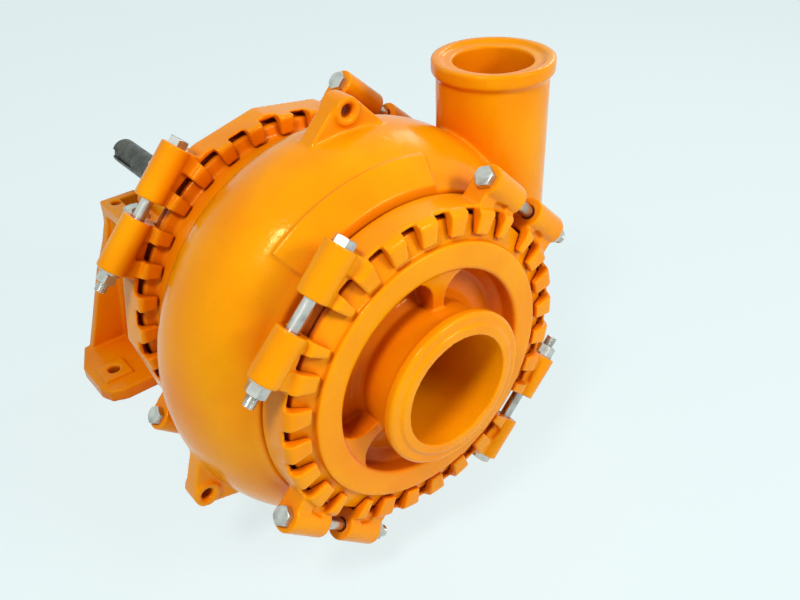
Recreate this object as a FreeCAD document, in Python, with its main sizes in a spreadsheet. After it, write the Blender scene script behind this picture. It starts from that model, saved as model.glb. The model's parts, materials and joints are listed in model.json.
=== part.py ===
import FreeCAD, Part
import math
import os

import Sketcher
from FreeCAD import Placement, Rotation, Vector

# Slurry pump: a 152 mm suction, 102 mm discharge gravel pump with its bearing frame.
# Frame: +Z up, the shaft lies along Y, +Y points to the drive end and the
# origin is the middle of the suction port's face. The discharge stands at +X.
# Radii are measured from the shaft's axis and "y" values along it.

DIMENSIONS = {
    # suction door
    "suction_bore_radius": 76,
    "spigot_radius": 104.5,
    "spigot_width": 20,
    "spigot_ridge_radius": 89,
    "spigot_ridge_height": 3,
    "neck_radius": 93,
    "door_face_y": 42.5,
    "door_rim_outer_radius": 178,
    "door_rim_inner_radius": 142,
    "door_recess_y": 80,
    "door_rib_count": 3,
    "door_rib_angle": 83.5,
    "door_rib_width": 18,
    "door_rib_flare": 34,
    "door_parting_y": 68,
    "door_inner_y": 122,
    # volute bowl
    "bowl_centre_y": 206,
    "bowl_half_width": 114,
    "bowl_core_radius": 86,
    "bowl_outer_radius": 279,
    "bowl_growth": 46,
    "bowl_growth_power": 4.5,
    "bowl_wall": 22,
    "door_bore_radius": 183.5,
    "frame_bore_radius": 198,
    "frame_bore_y": 285,
    "front_flange_radius": 206,
    "front_neck_radius": 199,
    "front_shoulder_y": 98.5,
    "front_shoulder_radius": 222,
    "relief_margin": 3,
    "back_flange_radius": 239,
    "back_neck_radius": 222,
    "back_parting_y": 370,
    "seal_width": 2,
    "nozzle_x": 253,
    "nozzle_radius": 76.5,
    "nozzle_start_z": 110,
    "nozzle_top_z": 305,
    "collar_radius": 83,
    "collar_height": 18,
    "discharge_bore_radius": 54,
    "gasket_recess_radius": 70,
    "gasket_recess_depth": 5,
    "pad_rise": 8,
    "pad_start_angle": 76,
    "pad_span_angle": 52,
    "ear_hole_radius": 8,
    "ear_recess_radius": 11.5,
    "ear_recess_depth": 3,
    "ear_hole_distance": 304,
    "ear_boss_radius": 18,
    "ear_boss_width": 34,
    "ear_width": 26,
    "ear_foot": 132,
    "top_ear_angle": 90,
    "side_ear_angle": 209,
    # clamp rings
    "door_joint_angle": 46,
    "frame_joint_angle": 48,
    "claw_slope": 0.3,
    "lip_slope": 0.6,
    "lip_thickness": 6,
    "door_ring_front_y": 43.7,
    "door_ring_back_y": 96,
    "door_ring_radius": 219,
    "door_ring_claw_radius": 185.5,
    "door_ring_wall": 9.5,
    "door_ring_claws": 7,
    "door_window_width": 21,
    "door_notch_depth": 12,
    "door_ring_gap": 40,
    "door_lug_length": 64,
    "door_bolt_radius": 234,
    "door_bolt_y": 64,
    "frame_ring_front_y": 346,
    "frame_ring_back_y": 396,
    "frame_ring_radius": 255,
    "frame_ring_claw_radius": 225,
    "frame_ring_wall": 12,
    "frame_ring_claws": 8,
    "frame_ring_flats": 4,
    "frame_window_width": 26,
    "frame_notch_depth": 15,
    "frame_ring_gap": 28,
    "frame_lug_length": 76,
    "frame_bolt_radius": 272,
    "frame_bolt_y": 367,
    "lug_radius": 20,
    "claw_thickness": 8.5,
    "claw_clearance": 0.4,
    "clamp_bolt_radius": 8,
    "clamp_hole_radius": 9,
    "bolt_head_across": 24,
    "bolt_head_height": 10,
    "nut_height": 13,
    "washer_radius": 15,
    "washer_thickness": 3,
    "bolt_overhang": 14,
    # frame plate, liner and seal
    "liner_face_y": 262,
    "liner_back_y": 300,
    "plate_thickness": 26,
    "plate_rim_thickness": 14,
    "plate_fit": 0.5,
    "stuffing_box_radius": 80,
    "stuffing_box_end_y": 384,
    "stuffing_flange_radius": 112,
    "stuffing_flange_width": 16,
    "packing_chamber_radius": 58,
    "packing_chamber_y": 282,
    "sleeve_radius": 44,
    "sleeve_clearance": 0.4,
    "neck_ring_width": 8,
    "lantern_ring_width": 14,
    "packing_ring_width": 13,
    "packing_ring_count": 4,
    "gland_nose_length": 34,
    "gland_flange_width": 14,
    "gland_stud_radius": 8,
    "gland_stud_x": 92,
    # impeller
    "impeller_radius": 170,
    "impeller_front_y": 126,
    "impeller_back_y": 257,
    "shroud_thickness": 14,
    "impeller_eye_radius": 74,
    "hub_radius": 46,
    "vane_count": 3,
    "vane_thickness": 16,
    "vane_wrap_angle": 115,
    "expeller_vane_count": 6,
    "expeller_vane_height": 5,
    # shaft and bearings
    "shaft_nose_radius": 30,
    "shaft_nose_y": 190,
    "shaft_sleeve_seat_radius": 34,
    "shaft_body_radius": 42,
    "shaft_bearing_seat_radius": 35,
    "shaft_end_radius": 25,
    "shaft_end_y": 966,
    "sleeve_end_y": 424,
    "keyway_width": 14,
    "keyway_depth": 5.5,
    "keyway_length": 84,
    "keyway_angle": 168,
    "housing_radius": 80,
    "housing_bore_radius": 62,
    "housing_core_radius": 56,
    "housing_start_y": 490,
    "housing_end_y": 730,
    "bearing_width": 36,
    "bearing_seat_depth": 8,
    "roller_radius": 6,
    "roller_count": 14,
    "cover_radius": 72,
    "cover_width": 16,
    "cover_screw_radius": 4,
    "cover_screw_circle": 66,
    "cover_screw_count": 6,
    "labyrinth_radius": 50,
    "labyrinth_width": 14,
    "spacer_radius": 42,
    # pump base
    "floor_z": -330,
    "rail_top_z": -20,
    "rail_half_width": 113.5,
    "rail_depth": 25,
    "base_back_y": 834,
    "end_wall_thickness": 18,
    "tunnel_top_half_width": 105,
    "tunnel_foot_half_width": 137,
    "tunnel_wall": 14,
    "rail_inner_half_width": 81,
    "end_trough_radius": 45,
    "base_flange_bore_radius": 168,
    "base_flange_width": 14,
    "drum_end_y": 480,
    "drum_end_radius": 150,
    "drum_wall": 14,
    "foot_thickness": 24,
    "rear_foot_half_width": 240,
    "rear_foot_front_y": 660,
    "rear_hole_x": 200,
    "rear_hole_y": 720,
    "foot_boss_side": 54,
    "foot_boss_height": 8,
    "foot_hole_radius": 11,
    "front_foot_half_width": 176,
    "front_foot_front_y": 345,
    "front_foot_back_y": 450,
    "front_hole_x": 140,
    "front_hole_y": 400,
    "guard_hole_x": 92,
    "guard_hole_y": 807,
    "guard_hole_radius": 9,
    "housing_foot_half_width": 96,
    "housing_foot_thickness": 20,
    "slide_clearance": 0.2,
    "clamp_stud_x": 105,
    "clamp_stud_radius": 6,
    "clamp_front_y": 530,
    "clamp_back_y": 690,
    "clamp_plate_length": 44,
    "clamp_plate_thickness": 14,
    "adjusting_screw_radius": 12,
    "adjusting_screw_z": -112,
    "adjusting_lug_y": 700,
    "adjusting_lug_width": 22,
}


class Size:
    """A length or angle: its value now, and the expression that ties it to the sheet."""

    def __init__(self, value, text):
        self.value = float(value)
        self.text = text

    def _join(self, other, sign, value):
        other = as_size(other)
        return Size(value(self.value, other.value), f"({self.text} {sign} {other.text})")

    def __add__(self, other):
        return self._join(other, "+", lambda a, b: a + b)

    def __sub__(self, other):
        return self._join(other, "-", lambda a, b: a - b)

    def __mul__(self, other):
        return self._join(other, "*", lambda a, b: a * b)

    def __truediv__(self, other):
        return self._join(other, "/", lambda a, b: a / b)

    def __neg__(self):
        return Size(-self.value, f"(0 - {self.text})")

    __radd__ = __add__
    __rmul__ = __mul__


def as_size(value):
    """A plain number as a Size."""
    return value if isinstance(value, Size) else Size(value, repr(float(value)))


class Sheet:
    """The driving dimensions, each one an attribute that is a Size."""

    def __init__(self, document, dimensions):
        sheet = document.addObject("Spreadsheet::Sheet", "Dimensions")
        for row, (alias, value) in enumerate(dimensions.items(), start=1):
            sheet.set(f"A{row}", alias)
            sheet.set(f"B{row}", str(value))
            sheet.setAlias(f"B{row}", alias)
            setattr(self, alias, Size(value, f"Dimensions.{alias}"))


document = FreeCAD.newDocument("SlurryPump")
dim = Sheet(document, DIMENSIONS)
document.recompute()
parts = []


# ---------------------------------------------------------------- modelling helpers

def keep(piece, label):
    """Name a finished sub-part and list it for export."""
    piece.Label = label
    parts.append(piece)
    return piece


def new_body(name):
    """An empty body for one sub-part."""
    return document.addObject("PartDesign::Body", name)


def origin_feature(body, role):
    """The body's own origin plane or axis with this role."""
    return next(item for item in body.Origin.OriginFeatures if item.Role == role)


def new_sketch(body, role, offset=0, turn=0):
    """A sketch parallel to an origin plane, moved along that plane's positive global axis."""
    sketch = body.newObject("Sketcher::SketchObject", f"{body.Name}_sketch")
    sketch.AttachmentSupport = [(origin_feature(body, role), "")]
    sketch.MapMode = "FlatFace"
    offset = as_size(offset)
    if role == "XZ_Plane":
        offset = -offset
    sketch.AttachmentOffset = Placement(Vector(0, 0, offset.value), Rotation(as_size(turn).value, 0, 0))
    sketch.setExpression("AttachmentOffset.Base.z", offset.text)
    if as_size(turn).value:
        sketch.setExpression("AttachmentOffset.Rotation.Angle", as_size(turn).text)
    return sketch


def tie(sketch, constraint, size):
    """Add one constraint and bind it to the sheet."""
    index = sketch.addConstraint(constraint)
    sketch.setExpression(f"Constraints[{index}]", size.text)


def place_point(sketch, geometry, position, point):
    """Hold one point of the geometry at an (x, y) pair of sizes."""
    across, up = as_size(point[0]), as_size(point[1])
    tie(sketch, Sketcher.Constraint("DistanceX", -1, 1, geometry, position, across.value), across)
    tie(sketch, Sketcher.Constraint("DistanceY", -1, 1, geometry, position, up.value), up)


def draw_outline(sketch, points):
    """Draw a closed outline of straight lines through (x, y) pairs of sizes."""
    corners = [Vector(as_size(x).value, as_size(y).value, 0) for x, y in points]
    count = len(corners)
    first = sketch.GeometryCount
    for index in range(count):
        sketch.addGeometry(Part.LineSegment(corners[index], corners[(index + 1) % count]), False)
    for index in range(count):
        following = first + (index + 1) % count
        sketch.addConstraint(Sketcher.Constraint("Coincident", first + index, 2, following, 1))
    for index, point in enumerate(points):
        place_point(sketch, first + index, 1, point)
    return sketch


def draw_circle(sketch, centre, radius):
    """Draw a circle of one size about an (x, y) pair of sizes."""
    radius = as_size(radius)
    middle = Vector(as_size(centre[0]).value, as_size(centre[1]).value, 0)
    index = sketch.addGeometry(Part.Circle(middle, Vector(0, 0, 1), radius.value), False)
    place_point(sketch, index, 3, centre)
    tie(sketch, Sketcher.Constraint("Radius", index, radius.value), radius)
    return sketch


def rectangle(low, high):
    """The four corners between two (x, y) pairs."""
    return [(low[0], low[1]), (high[0], low[1]), (high[0], high[1]), (low[0], high[1])]


def turned(body, kind, points, angle=360, middle=False):
    """Turn an outline of (y, radius) pairs about the shaft's axis."""
    sketch = draw_outline(new_sketch(body, "YZ_Plane"), points)
    feature = body.newObject(f"PartDesign::{kind}", f"{body.Name}_{kind.lower()}")
    feature.Profile = sketch
    feature.ReferenceAxis = (origin_feature(body, "Y_Axis"), [""])
    feature.Angle = as_size(angle).value
    if as_size(angle).value != 360:
        feature.setExpression("Angle", as_size(angle).text)
    feature.Midplane = middle
    return feature


def push(body, kind, sketch, length, backwards=False):
    """Pad or pocket a sketch by a length; backwards goes against the plane's normal."""
    feature = body.newObject(f"PartDesign::{kind}", f"{body.Name}_{kind.lower()}")
    feature.Profile = sketch
    feature.Length = as_size(length).value
    feature.setExpression("Length", as_size(length).text)
    feature.Reversed = backwards
    return feature


def pattern_round(body, features, count, angle):
    """Repeat features about the shaft's axis over an angle."""
    feature = body.newObject("PartDesign::PolarPattern", f"{body.Name}_pattern")
    feature.Originals = features
    feature.Axis = (origin_feature(body, "Y_Axis"), [""])
    feature.Angle = as_size(angle).value
    feature.setExpression("Angle", as_size(angle).text)
    feature.Occurrences = int(as_size(count).value)
    feature.setExpression("Occurrences", as_size(count).text)
    body.Tip = feature
    return feature


def mirror_across(body, features, role="YZ_Plane"):
    """Repeat features on the other side of an origin plane."""
    feature = body.newObject("PartDesign::Mirrored", f"{body.Name}_mirror")
    feature.Originals = features
    feature.MirrorPlane = (origin_feature(body, role), [""])
    body.Tip = feature
    return feature


def turn_body(body, angle):
    """Turn a body about the shaft's axis, from +X towards +Z."""
    body.Placement = Placement(Vector(0, 0, 0), Rotation(Vector(0, -1, 0), angle.value))
    body.setExpression("Placement.Rotation.Angle", angle.text)


def claw_seat(ring_front, claw_radius, radius):
    """Where a flange's tapered front lies under a clamp ring's claws, at one radius."""
    rise = (radius - claw_radius) * dim.claw_slope
    return ring_front + dim.claw_thickness + dim.claw_clearance + rise


def lip_seat(ring_back, neck_radius, radius):
    """Where a flange's tapered back lies inside a clamp ring's rear lip, at one radius."""
    rise = (radius - neck_radius) * dim.lip_slope
    return ring_back - dim.lip_thickness - dim.claw_clearance - rise


def turned_part(label, points):
    """A sub-part that is one outline turned about the shaft's axis."""
    body = new_body(label)
    turned(body, "Revolution", points)
    return keep(body, label)


def shape_part(label, shape):
    """A sub-part, or group of like fasteners, made from Part shapes that read the sheet."""
    piece = document.addObject("Part::Feature", label)
    piece.Shape = shape
    return keep(piece, label)


def along_y(radius, start, end, x=0, z=0):
    """A cylinder along Y from start to end."""
    return Part.makeCylinder(radius, end - start, Vector(x, start, z), Vector(0, 1, 0))


def hexagon(across, height, base, direction):
    """A hexagon prism of one size across its flats."""
    corner = across / math.sqrt(3)
    points = [Vector(corner * math.cos(math.radians(60 * k)), corner * math.sin(math.radians(60 * k)), 0)
              for k in range(7)]
    prism = Part.Face(Part.makePolygon(points)).extrude(Vector(0, 0, height))
    prism.Placement = Placement(base, Rotation(Vector(0, 0, 1), direction))
    return prism


def tube(outer, inner, height, base, direction):
    """A plain ring or washer."""
    ring = Part.makeCylinder(outer, height, base, direction)
    return ring.cut(Part.makeCylinder(inner, height, base, direction))


# ---------------------------------------------------------------- suction door

def make_throat_door():
    """The suction door: spigot, ribbed recess, clamped flange and throat plug."""
    body = new_body("throat_door")
    ring_front = dim.door_ring_front_y
    claw_radius = dim.door_ring_claw_radius
    turned(body, "Revolution", [
        (0, dim.suction_bore_radius),
        (0, dim.spigot_ridge_radius),
        (dim.spigot_ridge_height, dim.spigot_ridge_radius),
        (dim.spigot_ridge_height, dim.spigot_radius - 3),
        (dim.spigot_ridge_height + 3, dim.spigot_radius),
        (dim.spigot_width - 4, dim.spigot_radius),
        (dim.spigot_width, dim.neck_radius + 4),
        (dim.spigot_width + 4, dim.neck_radius),
        (dim.door_recess_y - 10, dim.neck_radius),
        (dim.door_recess_y, dim.neck_radius + 10),
        (dim.door_recess_y, dim.door_rim_inner_radius - 12),
        (dim.door_recess_y - 14, dim.door_rim_inner_radius),
        (dim.door_face_y + 3, dim.door_rim_inner_radius),
        (dim.door_face_y, dim.door_rim_inner_radius + 3),
        (dim.door_face_y, dim.door_rim_outer_radius - 2),
        (dim.door_face_y + 2, dim.door_rim_outer_radius),
        (claw_seat(ring_front, claw_radius, dim.door_rim_outer_radius), dim.door_rim_outer_radius),
        (claw_seat(ring_front, claw_radius, dim.front_flange_radius), dim.front_flange_radius),
        (dim.door_parting_y, dim.front_flange_radius),
        (dim.door_parting_y, dim.door_bore_radius - dim.plate_fit),
        (dim.door_inner_y, dim.door_bore_radius - dim.plate_fit),
        (dim.door_inner_y, dim.suction_bore_radius),
    ])
    # tapered ribs bridge the recess from the neck to the rim
    rib = new_sketch(body, "XZ_Plane", dim.door_face_y + 5)
    waist = dim.neck_radius + 11
    bridge = dim.door_rim_inner_radius - 5 - waist
    flank = [(dim.neck_radius - 4, dim.door_rib_width / 2)]
    for step in range(6):
        turn = math.radians(18 * step)
        widening = dim.door_rib_flare * (1 - math.cos(turn))
        flank.append((waist + bridge * math.sin(turn), dim.door_rib_width / 2 + widening))
    flank.append((dim.door_rim_inner_radius + 6, dim.door_rib_width / 2 + dim.door_rib_flare))
    draw_outline(rib, flank + [(radius, -half) for radius, half in reversed(flank)])
    pad = push(body, "Pad", rib, dim.door_recess_y - dim.door_face_y, True)
    pattern_round(body, [pad], dim.door_rib_count, 360)
    turn_body(body, dim.door_rib_angle)
    return keep(body, "throat_door")


# ---------------------------------------------------------------- volute bowl

def section_loop(centre, across, along, angle):
    """A closed curve across the volute: an ellipse in the half plane at one angle."""
    turn = Rotation(Vector(0, -1, 0), angle)
    points = []
    for step in range(12):
        bearing = math.radians(30 * step)
        radius = centre + across * math.cos(bearing)
        points.append(turn.multVec(Vector(radius, dim.bowl_centre_y.value + along * math.sin(bearing), 0)))
    curve = Part.BSplineCurve()
    curve.interpolate(Points=points, PeriodicFlag=True)
    return Part.Wire(curve.toShape())


def volute_outer_radius(angle):
    """The bowl's outer radius, which hardly grows past the tongue and faster to the throat."""
    share = max(0, (angle - 60) / 300)
    return dim.bowl_outer_radius.value + dim.bowl_growth.value * share ** dim.bowl_growth_power.value


def volute_shape(wall, nozzle_radius):
    """The spiral passage and the start of its nozzle, with the wall taken off all round."""
    loops = []
    for angle in range(15, 361, 30):
        outer = volute_outer_radius(angle)
        centre = (outer + dim.bowl_core_radius.value) / 2
        loops.append(section_loop(centre, outer - centre - wall, dim.bowl_half_width.value - wall, angle))
    spiral = Part.makeLoft(loops, True, False)
    across = outer - centre - wall
    along = dim.bowl_half_width.value - wall
    rising = [loops[-1]]
    for share in (0.35, 0.7):
        blend = math.sin(share * math.pi / 2)
        loop = section_loop(centre + (dim.nozzle_x.value - centre) * blend,
                            across + (nozzle_radius - across) * blend,
                            along + (nozzle_radius - along) * blend, 0)
        loop.translate(Vector(0, 0, dim.nozzle_start_z.value * share))
        rising.append(loop)
    mouth = Vector(dim.nozzle_x.value, dim.bowl_centre_y.value, dim.nozzle_start_z.value)
    rising.append(Part.Wire(Part.makeCircle(nozzle_radius, mouth, Vector(0, 0, 1))))
    return spiral.fuse(Part.makeLoft(rising, True, False))


def ring_shape(points, start=0, span=360):
    """A ring, or part of one, from an outline of (y, radius) values."""
    corners = [Vector(radius, y, 0) for y, radius in points]
    face = Part.Face(Part.makePolygon(corners + corners[:1]))
    face.rotate(Vector(0, 0, 0), Vector(0, -1, 0), start)
    return face.revolve(Vector(0, 0, 0), Vector(0, -1, 0), span)


def ear_shape(angle):
    """A lifting ear: a tapered web with a round boss, standing out from the bowl."""
    eye = dim.ear_hole_distance.value
    boss = dim.ear_boss_radius.value
    half = dim.ear_width.value / 2
    root = eye - 42
    foot = dim.ear_foot.value / 2
    middle = dim.bowl_centre_y.value
    corners = [Vector(root, middle - half, -foot), Vector(root, middle - half, foot),
               Vector(eye + boss * 0.45, middle - half, boss), Vector(eye + boss * 0.45, middle - half, -boss)]
    web = Part.Face(Part.makePolygon(corners + corners[:1])).extrude(Vector(0, 2 * half, 0))
    ear = web.fuse(along_y(boss, middle - dim.ear_boss_width.value / 2, middle + dim.ear_boss_width.value / 2, eye))
    ear.rotate(Vector(0, 0, 0), Vector(0, -1, 0), angle)
    return ear


def ear_hole(angle):
    """The hole through a lifting ear."""
    middle = dim.bowl_centre_y.value
    half = dim.ear_boss_width.value / 2
    eye = dim.ear_hole_distance.value
    hole = along_y(dim.ear_hole_radius.value, middle - half - 1, middle + half + 1, eye)
    for end, side in ((middle - half, 1), (middle + half, -1)):
        floor = end + side * dim.ear_recess_depth.value
        low, high = sorted((floor, end - side))
        hole = hole.fuse(along_y(dim.ear_recess_radius.value, low, high, eye))
    hole.rotate(Vector(0, 0, 0), Vector(0, -1, 0), angle)
    return hole


def make_pump_bowl():
    """The volute bowl with its two clamped necks, discharge nozzle, bare arc pad and ears."""
    wall = dim.bowl_wall.value
    front_y = (dim.door_parting_y + dim.seal_width).value
    front_r = dim.front_flange_radius.value
    neck_r = dim.front_neck_radius.value
    shoulder_y = dim.front_shoulder_y.value
    shoulder_r = dim.front_shoulder_radius.value
    front = ring_shape([
        (front_y, dim.door_bore_radius.value),
        (front_y, front_r),
        (lip_seat(dim.door_ring_back_y, dim.front_neck_radius, dim.front_flange_radius).value, front_r),
        (lip_seat(dim.door_ring_back_y, dim.front_neck_radius, dim.front_neck_radius).value, neck_r),
        (shoulder_y, neck_r),
        (shoulder_y, shoulder_r),
        (shoulder_y + 14, shoulder_r + 14),
        (shoulder_y + 50, shoulder_r + 14),
        (shoulder_y + 50, dim.door_bore_radius.value),
    ])
    back_y = dim.back_parting_y.value
    back_r = dim.back_flange_radius.value
    back_neck = dim.back_neck_radius.value
    back = ring_shape([
        (dim.frame_bore_y.value - 15, dim.frame_bore_radius.value),
        (dim.frame_bore_y.value - 15, back_neck + 10),
        (dim.frame_bore_y.value + 12, back_neck + 10),
        (dim.frame_bore_y.value + 24, back_neck),
        (claw_seat(dim.frame_ring_front_y, dim.frame_ring_claw_radius, dim.back_neck_radius).value, back_neck),
        (claw_seat(dim.frame_ring_front_y, dim.frame_ring_claw_radius, dim.back_flange_radius).value, back_r),
        (back_y, back_r),
        (back_y, dim.frame_bore_radius.value),
    ])
    rise = dim.pad_rise.value
    arc_pad = ring_shape([
        (shoulder_y, shoulder_r - 20),
        (shoulder_y, shoulder_r + rise),
        (shoulder_y + 30, shoulder_r + 30 + rise),
        (shoulder_y + 37, shoulder_r + 28),
        (shoulder_y + 30, shoulder_r - 20),
    ], dim.pad_start_angle.value, dim.pad_span_angle.value)
    x = dim.nozzle_x.value
    y = dim.bowl_centre_y.value
    top = dim.nozzle_top_z.value
    up = Vector(0, 0, 1)
    start = dim.nozzle_start_z.value
    collar_low = top - dim.collar_height.value
    pipe = Part.makeCylinder(dim.nozzle_radius.value, top - start, Vector(x, y, start), up)
    collar = Part.makeCylinder(dim.collar_radius.value, dim.collar_height.value, Vector(x, y, collar_low), up)
    skirt = Part.makeCone(dim.nozzle_radius.value, dim.collar_radius.value, 6, Vector(x, y, collar_low - 6), up)
    solid = volute_shape(0, dim.nozzle_radius.value)
    angles = (dim.top_ear_angle.value, dim.side_ear_angle.value)
    solid = solid.multiFuse([front, back, arc_pad, pipe, collar, skirt] + [ear_shape(a) for a in angles])
    bore = Part.makeCylinder(dim.discharge_bore_radius.value, top - start + 1, Vector(x, y, start), up)
    recess = Part.makeCylinder(dim.gasket_recess_radius.value, 20,
                               Vector(x, y, top - dim.gasket_recess_depth.value), up)
    door_bore = along_y(dim.door_bore_radius.value, 0, back_y + 1)
    frame_bore = along_y(dim.frame_bore_radius.value, dim.frame_bore_y.value, back_y + 1)
    passage = volute_shape(wall, dim.discharge_bore_radius.value)
    # the volute's swell is turned back to the neck where the front clamp ring sits
    lip_y = lip_seat(dim.door_ring_back_y, dim.front_neck_radius, dim.front_neck_radius).value
    relief = ring_shape(rectangle((lip_y, neck_r), (shoulder_y, shoulder_r + dim.relief_margin.value)))
    holes = [ear_hole(a) for a in angles]
    solid = solid.cut([passage, bore, recess, door_bore, frame_bore, relief] + holes)
    return shape_part("pump_bowl", solid)


# ---------------------------------------------------------------- clamp rings

class Ring:
    """The sizes of one of the two clamp rings."""

    def __init__(self, name, neck_radius, flats=as_size(0)):
        self.name = name
        self.neck = neck_radius
        self.flats = flats
        for key in ("front_y", "back_y", "radius", "claw_radius", "wall", "claws", "gap"):
            setattr(self, key, getattr(dim, f"{name}_ring_{key}"))
        self.window = getattr(dim, f"{name}_window_width")
        self.notch = getattr(dim, f"{name}_notch_depth")
        self.lug_length = getattr(dim, f"{name}_lug_length")
        self.bolt_radius = getattr(dim, f"{name}_bolt_radius")
        self.bolt_y = getattr(dim, f"{name}_bolt_y")
        self.joint_angle = getattr(dim, f"{name}_joint_angle")


def make_clamp_segment(ring, number):
    """A quarter of a clawed clamp ring, with a bolt lug at each end."""
    label = f"{ring.name}_clamp_segment_{number}"
    body = new_body(label)
    inner = ring.radius - ring.wall
    middle = (ring.front_y + ring.back_y) / 2
    bore = ring.neck + 1
    turned(body, "Revolution", [
        (ring.front_y, ring.claw_radius),
        (ring.front_y, ring.radius - 9),
        (ring.front_y + 2.5, ring.radius - 4),
        (ring.front_y + 9, ring.radius),
        (ring.back_y - 2, ring.radius + 1),
        (ring.back_y, ring.radius - 1),
        (ring.back_y, bore),
        (middle, bore),
        (middle, ring.claw_radius),
    ], 90)
    half_gap = ring.gap / 2
    # the outside is a run of broad flats
    if ring.flats.value:
        bends = [math.radians(90 / ring.flats.value * k) for k in range(int(ring.flats.value) + 1)]
        clear = ring.radius + 20
        bands = [(ring.radius * math.cos(bend), ring.radius * math.sin(bend)) for bend in bends]
        outside = new_sketch(body, "XZ_Plane", ring.front_y - 5)
        draw_outline(outside, bands + [(0, clear), (clear, clear), (clear, 0)])
        push(body, "Pocket", outside, ring.back_y - ring.front_y + 10)
    # the two end lugs: a rounded boss round the bolt, joined to the wall
    root = inner - 12
    for role, flip in (("XY_Plane", False), ("YZ_Plane", True)):
        def spot(radius, y, flip=flip):
            return (y, radius) if flip else (radius, y)
        web = new_sketch(body, role, half_gap)
        near = ring.bolt_y - dim.lug_radius * 0.6
        far = ring.bolt_y + dim.lug_radius
        draw_outline(web, [spot(root, near), spot(ring.bolt_radius, near),
                           spot(ring.bolt_radius, far), spot(root, far)])
        push(body, "Pad", web, ring.lug_length)
        boss = draw_circle(new_sketch(body, role, half_gap), spot(ring.bolt_radius, ring.bolt_y), dim.lug_radius)
        push(body, "Pad", boss, ring.lug_length)
    # the groove that holds both flanges, tapered under the claws and the rear lip
    claw_back = ring.front_y + dim.claw_thickness
    lip_front = ring.back_y - dim.lip_thickness
    turned(body, "Groove", [
        (claw_back - 40 * dim.claw_slope, ring.claw_radius - 40),
        (claw_back + (inner - ring.claw_radius) * dim.claw_slope, inner),
        (lip_front - (inner - ring.neck) * dim.lip_slope, inner),
        (lip_front, ring.neck),
        (lip_front, ring.claw_radius - 40),
    ])
    # square off both ends at the gap and bore the lugs
    low, high = ring.claw_radius - 20, ring.bolt_radius + 40
    before, after = ring.front_y - 30, ring.back_y + 30
    push(body, "Pocket", draw_outline(new_sketch(body, "XY_Plane"),
                                      rectangle((low, before), (high, after))), half_gap, True)
    push(body, "Pocket", draw_outline(new_sketch(body, "YZ_Plane"),
                                      rectangle((before, low), (after, high))), half_gap, True)
    reach = half_gap + ring.lug_length + 1
    push(body, "Pocket", draw_circle(new_sketch(body, "XY_Plane"), (ring.bolt_radius, ring.bolt_y),
                                     dim.clamp_hole_radius), reach, True)
    push(body, "Pocket", draw_circle(new_sketch(body, "YZ_Plane"), (ring.bolt_y, ring.bolt_radius),
                                     dim.clamp_hole_radius), reach, True)
    # windows between the claws; the joint's gap takes the place of one
    pitch = as_size(90) / ring.claws
    first = as_size(90) - pitch
    window = new_sketch(body, "XZ_Plane", ring.front_y - 5, first)
    half = ring.window / 2
    draw_outline(window, rectangle((ring.claw_radius - 12, -half), (inner + 4, half)))
    through = push(body, "Pocket", window, 26)
    edge = new_sketch(body, "XZ_Plane", ring.front_y - 5, first)
    draw_outline(edge, rectangle((inner, -half), (ring.radius + 6, half)))
    notch = push(body, "Pocket", edge, ring.notch + 5)
    pattern_round(body, [through, notch], ring.claws - 1, as_size(90) - pitch * 2)
    turn_body(body, ring.joint_angle + 90 * (number - 1))
    return keep(body, label)


HEAD_SIDES = (1, -1, -1, -1)


def joint_frames(ring):
    """Each joint's middle, and the way its bolt points from nut to head."""
    for number, side in enumerate(HEAD_SIDES):
        angle = math.radians(ring.joint_angle.value + 90 * number)
        middle = Vector(math.cos(angle), 0, math.sin(angle)) * ring.bolt_radius.value
        middle.y = ring.bolt_y.value
        yield middle, Vector(-math.sin(angle), 0, math.cos(angle)) * side


def make_clamp_fasteners(ring):
    """The four tangential bolts of a clamp ring, with their nuts and washers."""
    reach = (ring.gap / 2 + ring.lug_length).value
    shank = dim.clamp_bolt_radius.value
    across = dim.bolt_head_across.value
    thick = dim.washer_thickness.value
    nut = dim.nut_height.value
    bolts, nuts, washers = [], [], []
    for middle, way in joint_frames(ring):
        head = middle + way * reach
        tail = middle - way * reach
        length = 2 * reach + thick + nut + dim.bolt_overhang.value
        bolt = Part.makeCylinder(shank, length, head, way * -1)
        bolts.append(bolt.fuse(hexagon(across, dim.bolt_head_height.value, head, way)).removeSplitter())
        washers.append(tube(dim.washer_radius.value, shank + 0.5, thick, tail, way * -1))
        hex_nut = hexagon(across, nut, tail - way * thick, way * -1)
        nuts.append(hex_nut.cut(Part.makeCylinder(shank, length - 2 * reach, tail, way * -1)))
    shape_part(f"{ring.name}_clamp_bolts", Part.makeCompound(bolts))
    shape_part(f"{ring.name}_clamp_nuts", Part.makeCompound(nuts))
    shape_part(f"{ring.name}_clamp_washers", Part.makeCompound(washers))


def make_clamp_ring(ring):
    """All four segments of a clamp ring and their fasteners."""
    for number in range(1, 5):
        make_clamp_segment(ring, number)
    make_clamp_fasteners(ring)


# ---------------------------------------------------------------- frame plate, liner and seals

def make_seals():
    """The two flat rings that seal the bowl to the door and to the frame plate."""
    turned_part("door_seal", [
        (dim.door_parting_y, dim.door_bore_radius + 4),
        (dim.door_parting_y, dim.front_flange_radius - 3),
        (dim.door_parting_y + dim.seal_width, dim.front_flange_radius - 3),
        (dim.door_parting_y + dim.seal_width, dim.door_bore_radius + 4),
    ])
    turned_part("frame_seal", [
        (dim.back_parting_y, dim.frame_bore_radius + 4),
        (dim.back_parting_y, dim.back_flange_radius - 3),
        (dim.back_parting_y + dim.seal_width, dim.back_flange_radius - 3),
        (dim.back_parting_y + dim.seal_width, dim.frame_bore_radius + 4),
    ])


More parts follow.
